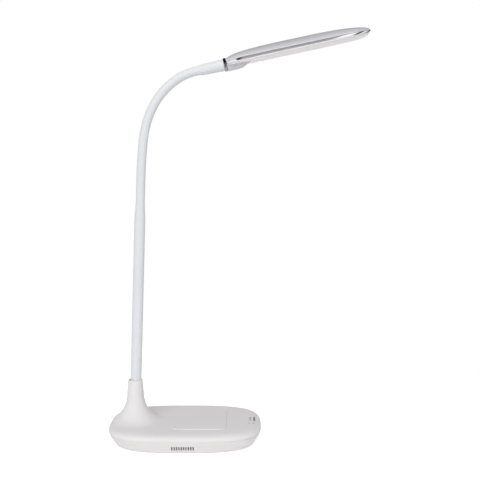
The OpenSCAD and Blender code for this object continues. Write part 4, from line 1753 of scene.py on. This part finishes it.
@dataclass
class Studio:
    """Floor, light and camera.

    Attributes:
        camera_at, tilt: Place of the camera, and its angle to the level.
        focal_px, frame_px, sensor_mm: Focal length and frame in the photograph's pixels, and
            the width of the camera's sensor.
        paper, floor_glow, floor_r: Grey of the floor, its glow for matt faces and what is
            added for the eye and gloss, and the radii between which it fades out.
        white: Level of the surroundings for the eye.
        sky, bounce, horizon: Levels that matt faces get from above and from below, and how
            sharply one gives way to the other.
        rise, cards: What gloss sees: the level by height, and its share by direction, in
            degrees from the camera towards +X, for pale cards and dark flags.
        box_at, box_aim, box_side, box_power: Place, target, side and power of the soft box.
    """

    camera_at: Triple = (61.05, -945.0, 311.6)
    tilt: float = -5.30
    focal_px: float = 859.09
    frame_px: float = 480.0
    sensor_mm: float = 36.0
    paper: float = 0.93
    floor_glow: Pair = (0.09, 0.41)
    floor_r: Pair = (300.0, 520.0)
    white: float = 1.0
    sky: float = 0.45
    bounce: float = 0.62
    horizon: float = 20.0
    rise: tuple[Pair, ...] = ((0.0, 1.0), (0.2, 0.9), (0.5, 0.08), (1.0, 0.03))
    cards: tuple[Pair, ...] = (
        (-90, 1.0), (-75, 0.5), (-60, 1.0), (-31, 1.1), (-27, 0.02), (-19, 0.02),
        (-15, 0.5), (15, 0.5), (19, 1.4), (36, 1.4), (39, 0.02), (52, 0.02),
        (56, 1.0), (94, 1.0), (102, 0.02), (124, 0.02), (132, 1.0),
    )
    box_at: Triple = (-200, -1650, 1500)
    box_aim: Triple = (0, 0, 180)
    box_side: float = 1900.0
    box_power: float = 31.0

    def build(self) -> None:
        """Sets up the whole studio."""
        self.camera()
        self.floor()
        self.world()
        self.softbox()
        bpy.context.scene.view_settings.view_transform = "Standard"

    def camera(self) -> None:
        """Camera at the photograph's place, with its angle of view."""
        data = bpy.data.cameras.new("photo_camera")
        data.sensor_width = self.sensor_mm
        data.lens = self.focal_px / self.frame_px * data.sensor_width
        data.clip_start, data.clip_end = 0.01, 50
        eye = link(bpy.data.objects.new("photo_camera", data))
        eye.location = Vector(self.camera_at) * MM
        eye.rotation_euler = (math.radians(90 + self.tilt), 0, 0)
        bpy.context.scene.camera = eye

    def floor(self) -> None:
        """Pale floor that keeps the lamp's shadow and fades into the white round it.

        Its glow stands for the light that a white table throws up at the lamp.
        """
        sides, spare = 96, 20
        solid = Solid()
        solid.verts = circle(self.floor_r[1] + spare, 0, sides)
        solid.faces = [tuple(range(sides))]
        s = Shader("pale floor")
        where = s.node("ShaderNodeVectorMath", {"operation": "LENGTH"}, {0: s.place()})["Value"]
        ends = {"Value": where, "From Min": self.floor_r[0] * MM, "From Max": self.floor_r[1] * MM}
        fade = s.node("ShaderNodeMapRange", {"interpolation_type": "SMOOTHSTEP"}, ends)[0]
        path = s.node("ShaderNodeLightPath")
        seen = (path["Is Camera Ray"] + path["Is Glossy Ray"] + path["Is Transmission Ray"]).held()
        paper = s.node("ShaderNodeBsdfDiffuse", None, {"Color": grey(self.paper)})[0]
        matt, extra = self.floor_glow
        light = {"Color": grey(1), "Strength": seen * extra + matt}
        glow = s.node("ShaderNodeEmission", None, light)[0]
        both = s.node("ShaderNodeAddShader", None, {0: paper, 1: glow})[0]
        clear = s.node("ShaderNodeBsdfTransparent")[0]
        s.close(s.node("ShaderNodeMixShader", None, {0: fade, 1: both, 2: clear})[0])
        solid.make("floor", s.material)

    def world(self) -> None:
        """Surroundings: white for the eye, an even sky for matt faces, and cards for gloss.

        Gloss sees a dark ceiling, pale below it, with a grey card in front, pale ones
        beside that and dark flags between them.
        """
        world = bpy.data.worlds.new("studio")
        bpy.context.scene.world = world
        s = Shader("studio", world)
        part = s.node("ShaderNodeSeparateXYZ", None, {0: s.node("ShaderNodeTexCoord")["Generated"]})
        rise = s.ramp(part["Z"], self.rise)
        turn = part["X"].maths("ARCTAN2", part["Y"] * -1.0)
        stops = tuple((0.5 + degrees / 360, level) for degrees, level in self.cards)
        cards = s.ramp(turn * (0.5 / math.pi) + 0.5, stops)
        path = s.node("ShaderNodeLightPath")
        seen = (path["Is Camera Ray"] + path["Is Transmission Ray"]).held()
        gloss = path["Is Glossy Ray"]
        below = (part["Z"] * -self.horizon).held()
        soft = below * (self.bounce - self.sky) + self.sky
        lit = gloss * rise * cards + (1.0 - gloss) * soft
        light = {"Color": grey(1), "Strength": lit * (1.0 - seen) + seen * self.white}
        s.close(s.node("ShaderNodeBackground", None, light)[0])

    def softbox(self) -> None:
        """Large soft light over the camera, which metal doesn't mirror."""
        data = bpy.data.lights.new("front_softbox", "AREA")
        data.shape, data.size, data.energy = "SQUARE", self.box_side * MM, self.box_power
        box = link(bpy.data.objects.new("front_softbox", data))
        box.visible_glossy = False
        box.location = Vector(self.box_at) * MM
        aim = Vector(self.box_aim) - Vector(self.box_at)
        box.rotation_euler = aim.to_track_quat("-Z", "Y").to_euler()


def main() -> None:
    """Builds the lamp's skins and the studio."""
    logging.basicConfig(level=logging.INFO, format="%(message)s")
    Studio().build()
    paints = Paints()
    LOG.info("painted %d CAD nodes", paints.carry(frame["record"]))
    repeat = RepeatTree("rounded bars in a row")
    Base(paints, repeat).build()
    neck = Neck(paints)
    neck.build()
    Head(paints, neck.head_place()).build()


if __name__ == "__main__":
    main()
